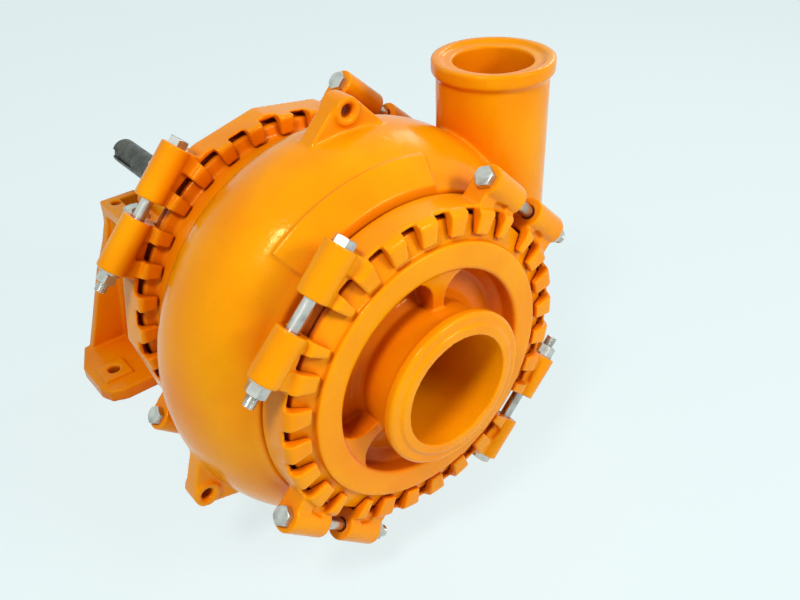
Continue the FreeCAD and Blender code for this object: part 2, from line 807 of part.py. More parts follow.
def make_frame_plate():
    """The plate behind the liner, trapped between the bowl and the base, and the liner itself."""
    step_radius = dim.door_bore_radius - dim.plate_fit
    rim = dim.frame_bore_radius - dim.plate_fit
    hub = dim.stuffing_box_radius + dim.plate_fit
    turned_part("frame_plate_liner", [
        (dim.liner_face_y, hub),
        (dim.liner_face_y, step_radius),
        (dim.frame_bore_y, step_radius),
        (dim.frame_bore_y, rim),
        (dim.liner_back_y, rim),
        (dim.liner_back_y, hub),
    ])
    turned_part("frame_plate", [
        (dim.liner_back_y, hub),
        (dim.liner_back_y, rim),
        (dim.back_parting_y + dim.seal_width, rim),
        (dim.back_parting_y + dim.seal_width, rim - dim.plate_rim_thickness),
        (dim.liner_back_y + dim.plate_thickness + 8, rim - dim.plate_rim_thickness),
        (dim.liner_back_y + dim.plate_thickness, rim - dim.plate_rim_thickness - 8),
        (dim.liner_back_y + dim.plate_thickness, hub),
    ])


def make_stuffing_box():
    """The stuffing box with its flange, its screws and the gland's two studs."""
    body = new_body("stuffing_box")
    flange_y = dim.liner_back_y + dim.plate_thickness
    flange_back = flange_y + dim.stuffing_flange_width
    turned(body, "Revolution", [
        (dim.liner_face_y, dim.sleeve_radius + 2),
        (dim.liner_face_y, dim.stuffing_box_radius),
        (flange_y, dim.stuffing_box_radius),
        (flange_y, dim.stuffing_flange_radius),
        (flange_back, dim.stuffing_flange_radius),
        (flange_back, dim.packing_chamber_radius + 20),
        (flange_back + 6, dim.packing_chamber_radius + 14),
        (dim.stuffing_box_end_y, dim.packing_chamber_radius + 14),
        (dim.stuffing_box_end_y, dim.packing_chamber_radius),
        (dim.packing_chamber_y, dim.packing_chamber_radius),
        (dim.packing_chamber_y, dim.sleeve_radius + 2),
    ])
    screw_circle = dim.stuffing_flange_radius - 14
    hole = draw_circle(new_sketch(body, "XZ_Plane", flange_y, 45), (screw_circle, 0), dim.cover_screw_radius + 0.3)
    drilled = push(body, "Pocket", hole, dim.stuffing_flange_width)
    pattern_round(body, [drilled], 4, 360)
    stud_hole = draw_circle(new_sketch(body, "XZ_Plane", flange_y), (dim.gland_stud_x, 0), dim.gland_stud_radius)
    seat = push(body, "Pocket", stud_hole, dim.stuffing_flange_width)
    mirror_across(body, [seat])
    keep(body, "stuffing_box")
    screws = []
    back = flange_back.value
    circle = screw_circle.value
    for number in range(4):
        angle = math.radians(45 + 90 * number)
        x, z = circle * math.cos(angle), circle * math.sin(angle)
        screw = along_y(dim.cover_screw_radius.value, flange_y.value, back, x, z)
        screws.append(screw.fuse(hexagon(13, 6, Vector(x, back, z), Vector(0, 1, 0))).removeSplitter())
    shape_part("stuffing_box_screws", Part.makeCompound(screws))


def make_packing():
    """The neck ring, lantern ring and packing rings inside the stuffing box."""
    inner = dim.sleeve_radius + dim.sleeve_clearance
    outer = dim.packing_chamber_radius - 0.1
    low = dim.packing_chamber_y
    turned_part("neck_ring", [
        (low, inner), (low, outer), (low + dim.neck_ring_width, outer), (low + dim.neck_ring_width, inner),
    ])
    low = low + dim.neck_ring_width
    waist = (inner + outer) / 2
    high = low + dim.lantern_ring_width
    turned_part("lantern_ring", [
        (low, inner), (low, outer), (low + 4, outer), (low + 4, waist + 2), (high - 4, waist + 2),
        (high - 4, outer), (high, outer), (high, inner), (high - 4, inner), (high - 4, waist - 2),
        (low + 4, waist - 2), (low + 4, inner),
    ])
    rings = []
    width = dim.packing_ring_width.value
    for number in range(int(dim.packing_ring_count.value)):
        start = high.value + number * width
        rings.append(tube(outer.value, inner.value, width, Vector(0, start, 0), Vector(0, 1, 0)))
    shape_part("packing_rings", Part.makeCompound(rings))
    return high + dim.packing_ring_width * dim.packing_ring_count


def make_gland(packing_end):
    """The gland, the two studs it rides on and its nuts."""
    nose_start = packing_end + 0.5
    flange_start = nose_start + dim.gland_nose_length
    flange_end = flange_start + dim.gland_flange_width
    inner = dim.sleeve_radius + dim.sleeve_clearance
    outer = dim.packing_chamber_radius - 0.4
    body = new_body("gland")
    turned(body, "Revolution", [
        (nose_start, inner), (nose_start, outer), (flange_start, outer), (flange_start, outer + 10),
        (flange_end, outer + 10), (flange_end, inner),
    ])
    ears = new_sketch(body, "XZ_Plane", flange_start)
    tip = dim.gland_stud_x + 18
    draw_outline(ears, [
        (outer, -36), (tip - 8, -15), (tip, -9), (tip, 9), (tip - 8, 15), (outer, 36), (outer - 3, 0),
    ])
    ear = push(body, "Pad", ears, dim.gland_flange_width, True)
    mirror_across(body, [ear])
    hole = draw_circle(new_sketch(body, "XZ_Plane", flange_start), (dim.gland_stud_x, 0), dim.gland_stud_radius + 0.5)
    bored = push(body, "Pocket", hole, dim.gland_flange_width)
    mirror_across(body, [bored])
    keep(body, "gland")
    x = dim.gland_stud_x.value
    radius = dim.gland_stud_radius.value
    start = (dim.liner_back_y + dim.plate_thickness).value
    end = flange_end.value + dim.nut_height.value + 30
    studs = [along_y(radius, start, end, side * x) for side in (-1, 1)]
    shape_part("gland_studs", Part.makeCompound(studs))
    nuts = []
    for side in (-1, 1):
        base = Vector(side * x, flange_end.value, 0)
        nut = hexagon(dim.bolt_head_across.value, dim.nut_height.value, base, Vector(0, 1, 0))
        nuts.append(nut.cut(along_y(radius + 0.05, base.y - 1, end, side * x)))
    shape_part("gland_nuts", Part.makeCompound(nuts))


# ---------------------------------------------------------------- impeller and shaft

def vane_shape(inner_radius, outer_radius, wrap, thickness, low_y, high_y, lean=1):
    """A backward-curved vane: a strip along a spiral, of one thickness, between two planes."""
    ahead, behind = [], []
    steps = 8
    for step in range(steps + 1):
        share = step / steps
        radius = inner_radius + (outer_radius - inner_radius) * share
        middle = math.radians(-lean * wrap * share)
        spread = thickness / 2 / radius
        ahead.append(Vector(radius * math.cos(middle + spread), low_y, radius * math.sin(middle + spread)))
        behind.append(Vector(radius * math.cos(middle - spread), low_y, radius * math.sin(middle - spread)))
    edges = []
    for points in (ahead, behind):
        curve = Part.BSplineCurve()
        curve.interpolate(points)
        edges.append(curve.toShape())
    ends = [Part.LineSegment(ahead[0], behind[0]).toShape(), Part.LineSegment(ahead[-1], behind[-1]).toShape()]
    outline = Part.Wire(Part.__sortEdges__(edges + ends))
    return Part.Face(outline).extrude(Vector(0, high_y - low_y, 0))


def around(shape, count):
    """Copies of a shape, evenly spaced about the shaft's axis."""
    copies = []
    for number in range(count):
        copy = shape.copy()
        copy.rotate(Vector(0, 0, 0), Vector(0, 1, 0), 360 * number / count)
        copies.append(copy)
    return copies


def make_impeller():
    """The closed impeller: two shrouds, its main vanes, pump-out vanes and hub."""
    radius = dim.impeller_radius.value
    eye = dim.impeller_eye_radius.value
    hub = dim.hub_radius.value
    bore = dim.shaft_nose_radius.value
    shroud = dim.shroud_thickness.value
    rib = dim.expeller_vane_height.value
    front_y = dim.impeller_front_y.value + rib
    back_y = dim.impeller_back_y.value - rib
    front = ring_shape([(front_y, eye), (front_y, radius), (front_y + shroud * 0.7, radius),
                        (front_y + shroud, radius - 20), (front_y + shroud + 6, eye + 8), (front_y + 6, eye)])
    nose_y = dim.shaft_nose_y.value
    back = ring_shape([(nose_y - 20, 0), (nose_y - 14, 22), (nose_y - 4, hub - 8), (nose_y + 16, hub),
                       (back_y - shroud, hub + 30), (back_y - shroud * 0.7, radius),
                       (back_y, radius), (back_y, hub + 6), (dim.impeller_back_y.value, hub + 4),
                       (dim.impeller_back_y.value, 0)])
    main = vane_shape(hub, radius - 1, dim.vane_wrap_angle.value, dim.vane_thickness.value,
                      front_y + shroud * 0.5, back_y - shroud * 0.5)
    expel_front = vane_shape(eye + 10, radius - 2, 50, 12, dim.impeller_front_y.value, front_y + 1)
    expel_back = vane_shape(hub + 14, radius - 2, 50, 12, back_y - 1, dim.impeller_back_y.value)
    count = int(dim.expeller_vane_count.value)
    pieces = [back] + around(main, int(dim.vane_count.value)) + around(expel_front, count) + around(expel_back, count)
    solid = front.multiFuse(pieces)
    nose = along_y(bore, nose_y, dim.impeller_back_y.value + 1)
    shape_part("impeller", solid.cut(nose))


def make_shaft(labyrinth_front, labyrinth_back):
    """The stepped shaft with its drive-end keyway, its sleeve and spacer."""
    body = new_body("shaft")
    seat = dim.shaft_bearing_seat_radius
    shoulder_front = dim.housing_start_y + dim.bearing_seat_depth + dim.bearing_width
    shoulder_back = dim.housing_end_y - dim.bearing_seat_depth - dim.bearing_width
    turned(body, "Revolution", [
        (dim.shaft_nose_y, 0),
        (dim.shaft_nose_y, dim.shaft_nose_radius - 3),
        (dim.shaft_nose_y + 3, dim.shaft_nose_radius),
        (dim.impeller_back_y, dim.shaft_nose_radius),
        (dim.impeller_back_y, dim.shaft_sleeve_seat_radius),
        (labyrinth_front, dim.shaft_sleeve_seat_radius),
        (labyrinth_front, seat),
        (shoulder_front, seat),
        (shoulder_front, dim.shaft_body_radius),
        (shoulder_back, dim.shaft_body_radius),
        (shoulder_back, seat),
        (labyrinth_back, seat),
        (labyrinth_back, dim.shaft_end_radius),
        (dim.shaft_end_y - 3, dim.shaft_end_radius),
        (dim.shaft_end_y, dim.shaft_end_radius - 3),
        (dim.shaft_end_y, 0),
    ])
    slot = new_sketch(body, "YZ_Plane", dim.shaft_end_radius - dim.keyway_depth)
    half = dim.keyway_width / 2
    draw_outline(slot, rectangle((dim.shaft_end_y - dim.keyway_length, -half), (dim.shaft_end_y + 5, half)))
    push(body, "Pocket", slot, dim.keyway_depth + 5, True)
    turn_body(body, dim.keyway_angle)
    keep(body, "shaft")
    inner = dim.shaft_sleeve_seat_radius
    turned_part("shaft_sleeve", rectangle((dim.impeller_back_y, inner), (dim.sleeve_end_y, dim.sleeve_radius)))
    turned_part("shaft_spacer", rectangle((dim.sleeve_end_y, inner), (labyrinth_front, dim.spacer_radius)))


# ---------------------------------------------------------------- bearing cartridge

def make_bearing(name, start):
    """One roller bearing: an outer race, an inner race and its ring of rollers."""
    end = start + dim.bearing_width
    seat = dim.shaft_bearing_seat_radius
    bore = dim.housing_bore_radius
    roller = dim.roller_radius
    pitch = (seat + bore) / 2
    turned_part(f"{name}_outer_race", rectangle((start, pitch + roller), (end, bore)))
    turned_part(f"{name}_inner_race", rectangle((start, seat), (end, pitch - roller)))
    rollers = [along_y(roller.value - 0.2, start.value + 4, end.value - 4, pitch.value)]
    shape_part(f"{name}_rollers", Part.makeCompound(around(rollers[0], int(dim.roller_count.value))))


def make_cover(name, face_y, outward):
    """A bearing cover that plugs the housing's bore, with its ring of screws."""
    body = new_body(f"{name}_cover")
    step = dim.bearing_seat_depth * outward
    width = dim.cover_width * outward
    clearance = dim.labyrinth_radius * 0.84 + 0.5
    turned(body, "Revolution", [
        (face_y - step, clearance),
        (face_y - step, dim.housing_bore_radius),
        (face_y, dim.housing_bore_radius),
        (face_y, dim.cover_radius),
        (face_y + width * 0.7, dim.cover_radius),
        (face_y + width, dim.cover_radius - 6),
        (face_y + width, clearance),
    ])
    keep(body, f"{name}_cover")


def make_labyrinth(name, face_y, outward):
    """A labyrinth ring that turns with the shaft and closes a bearing cover."""
    start = face_y + dim.cover_width * outward + 0.6 * outward
    end = start + dim.labyrinth_width * outward
    inner_end = face_y - dim.bearing_seat_depth * outward
    seat = dim.shaft_bearing_seat_radius
    turned_part(f"{name}_labyrinth", [
        (inner_end, seat), (inner_end, dim.labyrinth_radius * 0.84), (start, dim.labyrinth_radius * 0.84),
        (start, dim.labyrinth_radius), (end, dim.labyrinth_radius), (end, seat),
    ])
    return end


def make_housing():
    """The bearing housing: barrel, sliding feet and the lug that the adjusting screw moves."""
    body = new_body("bearing_housing")
    start, end = dim.housing_start_y, dim.housing_end_y
    depth = dim.bearing_seat_depth + dim.bearing_width
    turned(body, "Revolution", [
        (start, dim.housing_bore_radius),
        (start, dim.housing_radius),
        (start + 18, dim.housing_radius),
        (start + 26, dim.housing_radius - 6),
        (end - 26, dim.housing_radius - 6),
        (end - 18, dim.housing_radius),
        (end, dim.housing_radius),
        (end, dim.housing_bore_radius),
        (end - depth, dim.housing_bore_radius),
        (end - depth, dim.housing_core_radius),
        (start + depth, dim.housing_core_radius),
        (start + depth, dim.housing_bore_radius),
    ])
    low = dim.rail_top_z + dim.slide_clearance
    foot = new_sketch(body, "XZ_Plane", start)
    inner = dim.housing_core_radius + 10
    draw_outline(foot, [
        (inner, low), (dim.housing_foot_half_width, low),
        (dim.housing_foot_half_width, low + dim.housing_foot_thickness - 4),
        (dim.housing_foot_half_width - 4, low + dim.housing_foot_thickness),
        (dim.housing_foot_half_width - 14, low + dim.housing_foot_thickness),
        (inner, low + dim.housing_foot_thickness + 6),
    ])
    sliding_foot = push(body, "Pad", foot, end - start, True)
    mirror_across(body, [sliding_foot])
    lug = new_sketch(body, "XZ_Plane", dim.adjusting_lug_y - dim.adjusting_lug_width / 2)
    reach = dim.adjusting_screw_z - dim.adjusting_screw_radius * 2
    draw_outline(lug, [
        (-26, -dim.housing_core_radius - 8), (-20, reach), (20, reach), (26, -dim.housing_core_radius - 8),
    ])
    push(body, "Pad", lug, dim.adjusting_lug_width, True)
    hole = new_sketch(body, "XZ_Plane", dim.adjusting_lug_y - dim.adjusting_lug_width / 2)
    draw_circle(hole, (0, dim.adjusting_screw_z), dim.adjusting_screw_radius + 0.5)
    push(body, "Pocket", hole, dim.adjusting_lug_width)
    keep(body, "bearing_housing")
    top = dim.housing_radius.value - 6
    nipples = []
    for y in (start.value + 60, end.value - 60):
        stem = Part.makeCylinder(4, 14, Vector(0, y, top), Vector(0, 0, 1))
        collar = hexagon(11, 5, Vector(0, y, top + 1), Vector(0, 0, 1))
        nipples.append(stem.fuse(collar).removeSplitter())
    shape_part("grease_nipples", Part.makeCompound(nipples))


def make_cover_screws(name, face_y, outward):
    """The ring of screws that holds a bearing cover."""
    start = (face_y + dim.cover_width * outward).value
    circle = dim.cover_screw_circle.value
    screw = hexagon(10, 5, Vector(circle, start, 0), Vector(0, outward, 0))
    shape_part(f"{name}_cover_screws", Part.makeCompound(around(screw, int(dim.cover_screw_count.value))))


def make_hold_downs():
    """Clamp plates, bolts and the adjusting screw that fix the cartridge to the base."""
    plates, bolts = [], []
    x0 = dim.clamp_stud_x.value
    radius = dim.clamp_stud_radius.value
    rail = dim.rail_top_z.value
    top = rail + dim.housing_foot_thickness.value + 0.6
    half = dim.clamp_plate_length.value / 2
    thick = dim.clamp_plate_thickness.value
    inner = dim.housing_foot_half_width.value
    outer = dim.rail_half_width.value
    for side in (-1, 1):
        for y in (dim.clamp_front_y.value, dim.clamp_back_y.value):
            heel = Part.makeBox(outer - inner - 0.5, 2 * half, top - rail + thick, Vector(inner + 0.5, y - half, rail))
            toe = Part.makeBox(outer - inner + 8, 2 * half, thick, Vector(inner - 8, y - half, top))
            plate = heel.fuse(toe).removeSplitter()
            plate = plate.cut(Part.makeCylinder(radius, 200, Vector(x0, y, rail - 60), Vector(0, 0, 1)))
            bolt = Part.makeCylinder(radius, top + thick - rail + 25, Vector(x0, y, rail - 25), Vector(0, 0, 1))
            bolt = bolt.fuse(hexagon(19, 8, Vector(x0, y, top + thick), Vector(0, 0, 1))).removeSplitter()
            if side < 0:
                plate = plate.mirror(Vector(0, 0, 0), Vector(1, 0, 0))
                bolt = bolt.mirror(Vector(0, 0, 0), Vector(1, 0, 0))
            plates.append(plate)
            bolts.append(bolt)
    shape_part("bearing_clamp_plates", Part.makeCompound(plates))
    shape_part("bearing_clamp_bolts", Part.makeCompound(bolts))
    z = dim.adjusting_screw_z.value
    screw_radius = dim.adjusting_screw_radius.value
    middle = dim.adjusting_lug_y.value
    lug_half = dim.adjusting_lug_width.value / 2
    screw = along_y(screw_radius, middle - lug_half - 34, dim.base_back_y.value, 0, z)
    head = hexagon(36, 15, Vector(0, dim.base_back_y.value, z), Vector(0, 1, 0))
    shape_part("adjusting_screw", screw.fuse(head).removeSplitter())
    nuts = []
    for way in (-1, 1):
        nut = hexagon(36, 16, Vector(0, middle + way * lug_half, z), Vector(0, way, 0))
        nuts.append(nut.cut(along_y(screw_radius + 0.05, middle - 60, middle + 60, 0, z)))
    shape_part("adjusting_nuts", Part.makeCompound(nuts))


# ---------------------------------------------------------------- pump base

def make_pump_base():
    """The base: round clamped flange, drum, cradle rails, flared end wall and feet."""
    body = new_body("pump_base")
    face = dim.back_parting_y + dim.seal_width
    flange = dim.back_flange_radius
    neck = dim.back_neck_radius
    back = dim.frame_ring_back_y
    end = dim.drum_end_y
    wall = dim.drum_wall
    turned(body, "Revolution", [
        (face, dim.base_flange_bore_radius),
        (face, flange),
        (lip_seat(back, neck, flange), flange),
        (lip_seat(back, neck, neck), neck),
        (back + 4, neck),
        (end, dim.drum_end_radius),
        (end, dim.cover_radius + 8),
        (end - wall, dim.cover_radius + 8),
        (end - wall, dim.drum_end_radius - wall),
        (back + 6, neck - wall),
        (face + dim.base_flange_width, neck - wall - 8),
        (face + dim.base_flange_width, dim.base_flange_bore_radius),
    ])
    # the drum is open above the rails so that the gland can be reached
    top = new_sketch(body, "XY_Plane", dim.rail_top_z)
    draw_outline(top, rectangle((-neck - 20, back + 1), (neck + 20, end + 20)))
    push(body, "Pocket", top, neck + 60, True)
    # one rail, side wall and its mirror image
    side = new_sketch(body, "XZ_Plane", end - wall)
    rail_low = dim.rail_top_z - dim.rail_depth
    draw_outline(side, [
        (dim.rail_inner_half_width, dim.rail_top_z),
        (dim.rail_half_width, dim.rail_top_z),
        (dim.rail_half_width, rail_low),
        (dim.tunnel_top_half_width, rail_low - 8),
        (dim.tunnel_foot_half_width, dim.floor_z),
        (dim.tunnel_foot_half_width - dim.tunnel_wall, dim.floor_z),
        (dim.tunnel_top_half_width - dim.tunnel_wall, rail_low - 8),
        (dim.rail_inner_half_width, rail_low),
    ])
    leg = push(body, "Pad", side, dim.base_back_y - end + wall, True)
    mirror_across(body, [leg])
    # the flared end wall, with room for the shaft above and an arch below
    end_wall = new_sketch(body, "XZ_Plane", dim.base_back_y)
    outline = [
        (dim.end_trough_radius, dim.rail_top_z),
        (dim.rail_half_width, dim.rail_top_z),
        (dim.rail_half_width + 1, dim.rail_top_z - 40),
        (dim.rail_half_width + 13, dim.rail_top_z - 78),
        (dim.rail_half_width + 38, dim.rail_top_z - 133),
        (dim.rail_half_width + 72, dim.rail_top_z - 234),
        (dim.rail_half_width + 98, dim.floor_z),
        (dim.tunnel_foot_half_width - 20, dim.floor_z),
        (dim.tunnel_foot_half_width - 34, dim.floor_z + 70),
        (dim.tunnel_foot_half_width - 80, dim.floor_z + 104),
    ]
    mirrored = [(-x, z) for x, z in reversed(outline)]
    trough = [
        (-dim.end_trough_radius * 0.8, -dim.end_trough_radius * 0.8),
        (0, -dim.end_trough_radius * 1.05),
        (dim.end_trough_radius * 0.8, -dim.end_trough_radius * 0.8),
    ]
    draw_outline(end_wall, outline + mirrored + trough)
    push(body, "Pad", end_wall, dim.end_wall_thickness)
    # the front leg under the drum
    leg_half = dim.front_foot_half_width - 46
    front_leg = new_sketch(body, "XZ_Plane", dim.front_foot_back_y - 20)
    draw_outline(front_leg, [
        (-leg_half, dim.floor_z), (leg_half, dim.floor_z),
        (leg_half - 10, -dim.back_neck_radius * 0.62), (-leg_half + 10, -dim.back_neck_radius * 0.62),
    ])
    push(body, "Pad", front_leg, 20, True)
    # feet
    half = dim.front_foot_half_width
    front_foot = new_sketch(body, "XY_Plane", dim.floor_z)
    draw_outline(front_foot, [
        (-half, dim.front_foot_front_y + 24), (-half + 24, dim.front_foot_front_y),
        (half - 24, dim.front_foot_front_y), (half, dim.front_foot_front_y + 24),
        (half, dim.front_foot_back_y), (-half, dim.front_foot_back_y),
    ])
    push(body, "Pad", front_foot, dim.foot_thickness)
    wide = dim.rear_foot_half_width
    rear_foot = new_sketch(body, "XY_Plane", dim.floor_z)
    draw_outline(rear_foot, [
        (dim.tunnel_foot_half_width - 10, dim.rear_foot_front_y),
        (wide - 34, dim.rear_foot_front_y),
        (wide - 10, dim.rear_foot_front_y + 10),
        (wide, dim.rear_foot_front_y + 34),
        (wide, dim.base_back_y - 60),
        (wide - 26, dim.base_back_y),
        (dim.tunnel_foot_half_width - 10, dim.base_back_y),
    ])
    plate = push(body, "Pad", rear_foot, dim.foot_thickness)
    boss = new_sketch(body, "XY_Plane", dim.floor_z + dim.foot_thickness)
    side_half = dim.foot_boss_side / 2
    draw_outline(boss, rectangle((dim.rear_hole_x - side_half, dim.rear_hole_y - side_half),
                                 (dim.rear_hole_x + side_half, dim.rear_hole_y + side_half)))
    raised = push(body, "Pad", boss, dim.foot_boss_height)
    mirror_across(body, [plate, raised])
    # holes: four base bolts, two guard holes, the adjusting screw and the clamp bolts
    through = dim.foot_thickness + dim.foot_boss_height
    for x, y, z, radius, depth in (
            (dim.rear_hole_x, dim.rear_hole_y, dim.floor_z, dim.foot_hole_radius, through),
            (dim.front_hole_x, dim.front_hole_y, dim.floor_z, dim.foot_hole_radius, through),
            (dim.guard_hole_x, dim.guard_hole_y, rail_low, dim.guard_hole_radius, dim.rail_depth),
            (dim.clamp_stud_x, dim.clamp_front_y, rail_low, dim.clamp_stud_radius, dim.rail_depth),
            (dim.clamp_stud_x, dim.clamp_back_y, rail_low, dim.clamp_stud_radius, dim.rail_depth)):
        hole = draw_circle(new_sketch(body, "XY_Plane", z), (x, y), radius)
        bored = push(body, "Pocket", hole, depth, True)
        mirror_across(body, [bored])
    screw_hole = new_sketch(body, "XZ_Plane", dim.base_back_y - dim.end_wall_thickness)
    draw_circle(screw_hole, (0, dim.adjusting_screw_z), dim.adjusting_screw_radius)
    push(body, "Pocket", screw_hole, dim.end_wall_thickness)
    keep(body, "pump_base")


make_throat_door()
make_pump_bowl()
make_clamp_ring(Ring("door", dim.front_neck_radius))
make_clamp_ring(Ring("frame", dim.back_neck_radius, dim.frame_ring_flats))
make_seals()
make_frame_plate()
make_stuffing_box()
make_gland(make_packing())
make_impeller()
FRONT, BACK = -1, 1
labyrinth_front = make_labyrinth("pump_end", dim.housing_start_y, FRONT)
labyrinth_back = make_labyrinth("drive_end", dim.housing_end_y, BACK)
make_shaft(labyrinth_front, labyrinth_back)
make_bearing("pump_end", dim.housing_start_y + dim.bearing_seat_depth)
make_bearing("drive_end", dim.housing_end_y - dim.bearing_seat_depth - dim.bearing_width)
make_housing()
for end_name, end_face, way in (("pump_end", dim.housing_start_y, FRONT), ("drive_end", dim.housing_end_y, BACK)):
    make_cover(end_name, end_face, way)
    make_cover_screws(end_name, end_face, way)
make_hold_downs()
make_pump_base()


# ---------------------------------------------------------------- check and export

document.recompute()
os.makedirs("parts", exist_ok=True)
for item in document.Objects:
    if "Invalid" in item.State or "Error" in item.State:
        raise RuntimeError(f"{item.Label} failed: {item.State}")
for piece in parts:
    if piece.Shape.isNull() or not piece.Shape.isValid():
        raise RuntimeError(f"{piece.Label} has no valid shape")
for piece in parts:
    piece.Shape.exportStep(f"parts/{piece.Label}.step")
print(len(parts), "sub-parts written")
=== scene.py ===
"""Looks of a horizontal slurry pump: sand-cast skins, fasteners, finishes and a plain studio stage."""

import json
import math

import bmesh
import bpy
import numpy as np
from mathutils import Matrix, Vector


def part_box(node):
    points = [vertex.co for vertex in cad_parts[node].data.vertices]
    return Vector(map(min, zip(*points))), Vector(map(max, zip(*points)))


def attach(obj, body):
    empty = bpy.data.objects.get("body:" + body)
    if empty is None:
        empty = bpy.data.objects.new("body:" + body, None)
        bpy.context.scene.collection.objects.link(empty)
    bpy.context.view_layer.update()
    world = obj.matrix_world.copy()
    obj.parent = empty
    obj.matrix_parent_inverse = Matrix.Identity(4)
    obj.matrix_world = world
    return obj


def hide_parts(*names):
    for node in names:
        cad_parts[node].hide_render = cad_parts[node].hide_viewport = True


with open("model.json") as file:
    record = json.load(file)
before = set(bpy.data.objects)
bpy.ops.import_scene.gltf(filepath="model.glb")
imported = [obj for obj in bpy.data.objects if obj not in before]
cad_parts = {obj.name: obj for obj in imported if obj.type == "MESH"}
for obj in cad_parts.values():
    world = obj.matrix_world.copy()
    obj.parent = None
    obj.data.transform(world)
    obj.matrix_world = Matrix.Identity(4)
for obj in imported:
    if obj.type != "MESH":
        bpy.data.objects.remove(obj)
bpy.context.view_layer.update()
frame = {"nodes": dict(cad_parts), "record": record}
NODES = frame["nodes"]
BODY_OF = {node: body for body, members in frame["record"]["behaviour"]["bodies"].items() for node in members}
SLOT_OF = {part["node"]: part["material_slot"] for part in frame["record"]["subparts"]}
FLOOR_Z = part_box("pump_base")[0].z
MERGE_DISTANCE = 2e-6
SHARP_ANGLE = math.radians(35)
END_BAND = 0.001

bl_info = {
    "name": "Slurry Pump Looks",
    "version": (1, 0, 0),
    "blender": (4, 5, 0),
    "location": "View3D > Sidebar > Slurry Pump",
    "description": "Dresses a slurry pump's solids as painted sand castings with plated fasteners",
    "category": "Object",
}


# ---------------------------------------------------------------- node trees

class Graph:
    """A short way to write a node tree: each call adds one node and joins its inputs."""

    def __init__(self, tree):
        self.tree = tree

    def add(self, kind, inputs=None, **settings):
        """Adds a node; inputs maps socket names or numbers to sockets or plain values."""
        node = self.tree.nodes.new(kind)
        for name, value in settings.items():
            setattr(node, name, value)
        for key, value in (inputs or {}).items():
            if isinstance(value, bpy.types.NodeSocket):
                self.tree.links.new(value, node.inputs[key])
            else:
                node.inputs[key].default_value = value
        return node

    def math(self, operation, first, second=0.0, clamp=False):
        """One Math node's result."""
        node = self.add("ShaderNodeMath", {0: first, 1: second}, operation=operation, use_clamp=clamp)
        return node.outputs[0]

    def vector(self, operation, first, second=(0, 0, 0)):
        """One Vector Math node's vector result."""
        return self.add("ShaderNodeVectorMath", {0: first, 1: second}, operation=operation).outputs[0]

    def scaled(self, vector, factor):
        """A vector times a number."""
        return self.add("ShaderNodeVectorMath", {0: vector, "Scale": factor}, operation="SCALE").outputs[0]


def geometry_tree(name, sockets):
    """A geometry tree with named inputs; gives the graph and its input sockets by name."""
    tree = bpy.data.node_groups.new(name, "GeometryNodeTree")
    tree.interface.new_socket("Geometry", in_out="INPUT", socket_type="NodeSocketGeometry")
    for label, kind, default in sockets:
        socket = tree.interface.new_socket(label, in_out="INPUT", socket_type=kind)
        if default is not None:
            socket.default_value = default
    tree.interface.new_socket("Geometry", in_out="OUTPUT", socket_type="NodeSocketGeometry")
    graph = Graph(tree)
    source = graph.add("NodeGroupInput")
    return graph, {socket.name: socket for socket in source.outputs if socket.name}


def end_tree(graph, geometry, material):
    """Ends a geometry tree: realized, with its keen edges sharp, and given its material."""
    real = graph.add("GeometryNodeRealizeInstances", {"Geometry": geometry}).outputs[0]
    smooth = graph.add("GeometryNodeSetShadeSmooth", {"Geometry": real, "Shade Smooth": True}).outputs[0]
    angle = graph.add("GeometryNodeInputMeshEdgeAngle").outputs["Unsigned Angle"]
    keen = graph.add("FunctionNodeCompare", {"A": angle, "B": SHARP_ANGLE},
                     data_type="FLOAT", operation="GREATER_THAN").outputs[0]
    creased = {"Geometry": smooth, "Selection": keen, "Shade Smooth": False}
    edged = graph.add("GeometryNodeSetShadeSmooth", creased, domain="EDGE").outputs[0]
    painted = graph.add("GeometryNodeSetMaterial", {"Geometry": edged, "Material": material}).outputs[0]
    graph.add("NodeGroupOutput", {"Geometry": painted})
    return graph.tree


def add_tree(piece, tree, **values):
    """Puts a geometry tree on a piece and sets its inputs by their labels, spaces written as underscores."""
    modifier = piece.modifiers.new(tree.name, "NODES")
    modifier.node_group = tree
    for item in tree.interface.items_tree:
        label = item.name.replace(" ", "_")
        if item.in_out == "INPUT" and label in values:
            modifier[item.identifier] = values[label]


def settle(piece):
    """Turns a piece's evaluated shape into its plain mesh and removes its modifiers."""
    evaluated = piece.evaluated_get(bpy.context.evaluated_depsgraph_get())
    mesh = bpy.data.meshes.new_from_object(evaluated)
    piece.modifiers.clear()
    piece.data = mesh
    mesh.name = piece.name
    return piece


def new_piece(name, mesh):
    """A linked object that holds a mesh."""
    piece = bpy.data.objects.new(name, mesh)
    bpy.context.scene.collection.objects.link(piece)
    return piece


def merged_copy(node, name):
    """A new piece with a CAD node's shape, its loose triangles joined."""
    mesh = NODES[node].data.copy()
    shape = bmesh.new()
    shape.from_mesh(mesh)
    bmesh.ops.remove_doubles(shape, verts=shape.verts, dist=MERGE_DISTANCE)
    shape.to_mesh(mesh)
    shape.free()
    mesh.materials.clear()
    return new_piece(name, mesh)


def dress(piece, *nodes):
    """Lets a finished piece stand for CAD nodes: it rides on their body, and the nodes are hidden."""
    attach(piece, BODY_OF[nodes[0]])
    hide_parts(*nodes)


def solids_of(node):
    """The corner points of each separate solid in a CAD node."""
    shape = bmesh.new()
    shape.from_mesh(NODES[node].data)
    bmesh.ops.remove_doubles(shape, verts=shape.verts, dist=MERGE_DISTANCE)
    seen = set()
    solids = []
    for start in shape.verts:
        if start in seen:
            continue
        seen.add(start)
        found = [start]
        for vertex in found:
            for edge in vertex.link_edges:
                other = edge.other_vert(vertex)
                if other not in seen:
                    seen.add(other)
                    found.append(other)
        solids.append(np.array([vertex.co for vertex in found]))
    shape.free()
    return solids


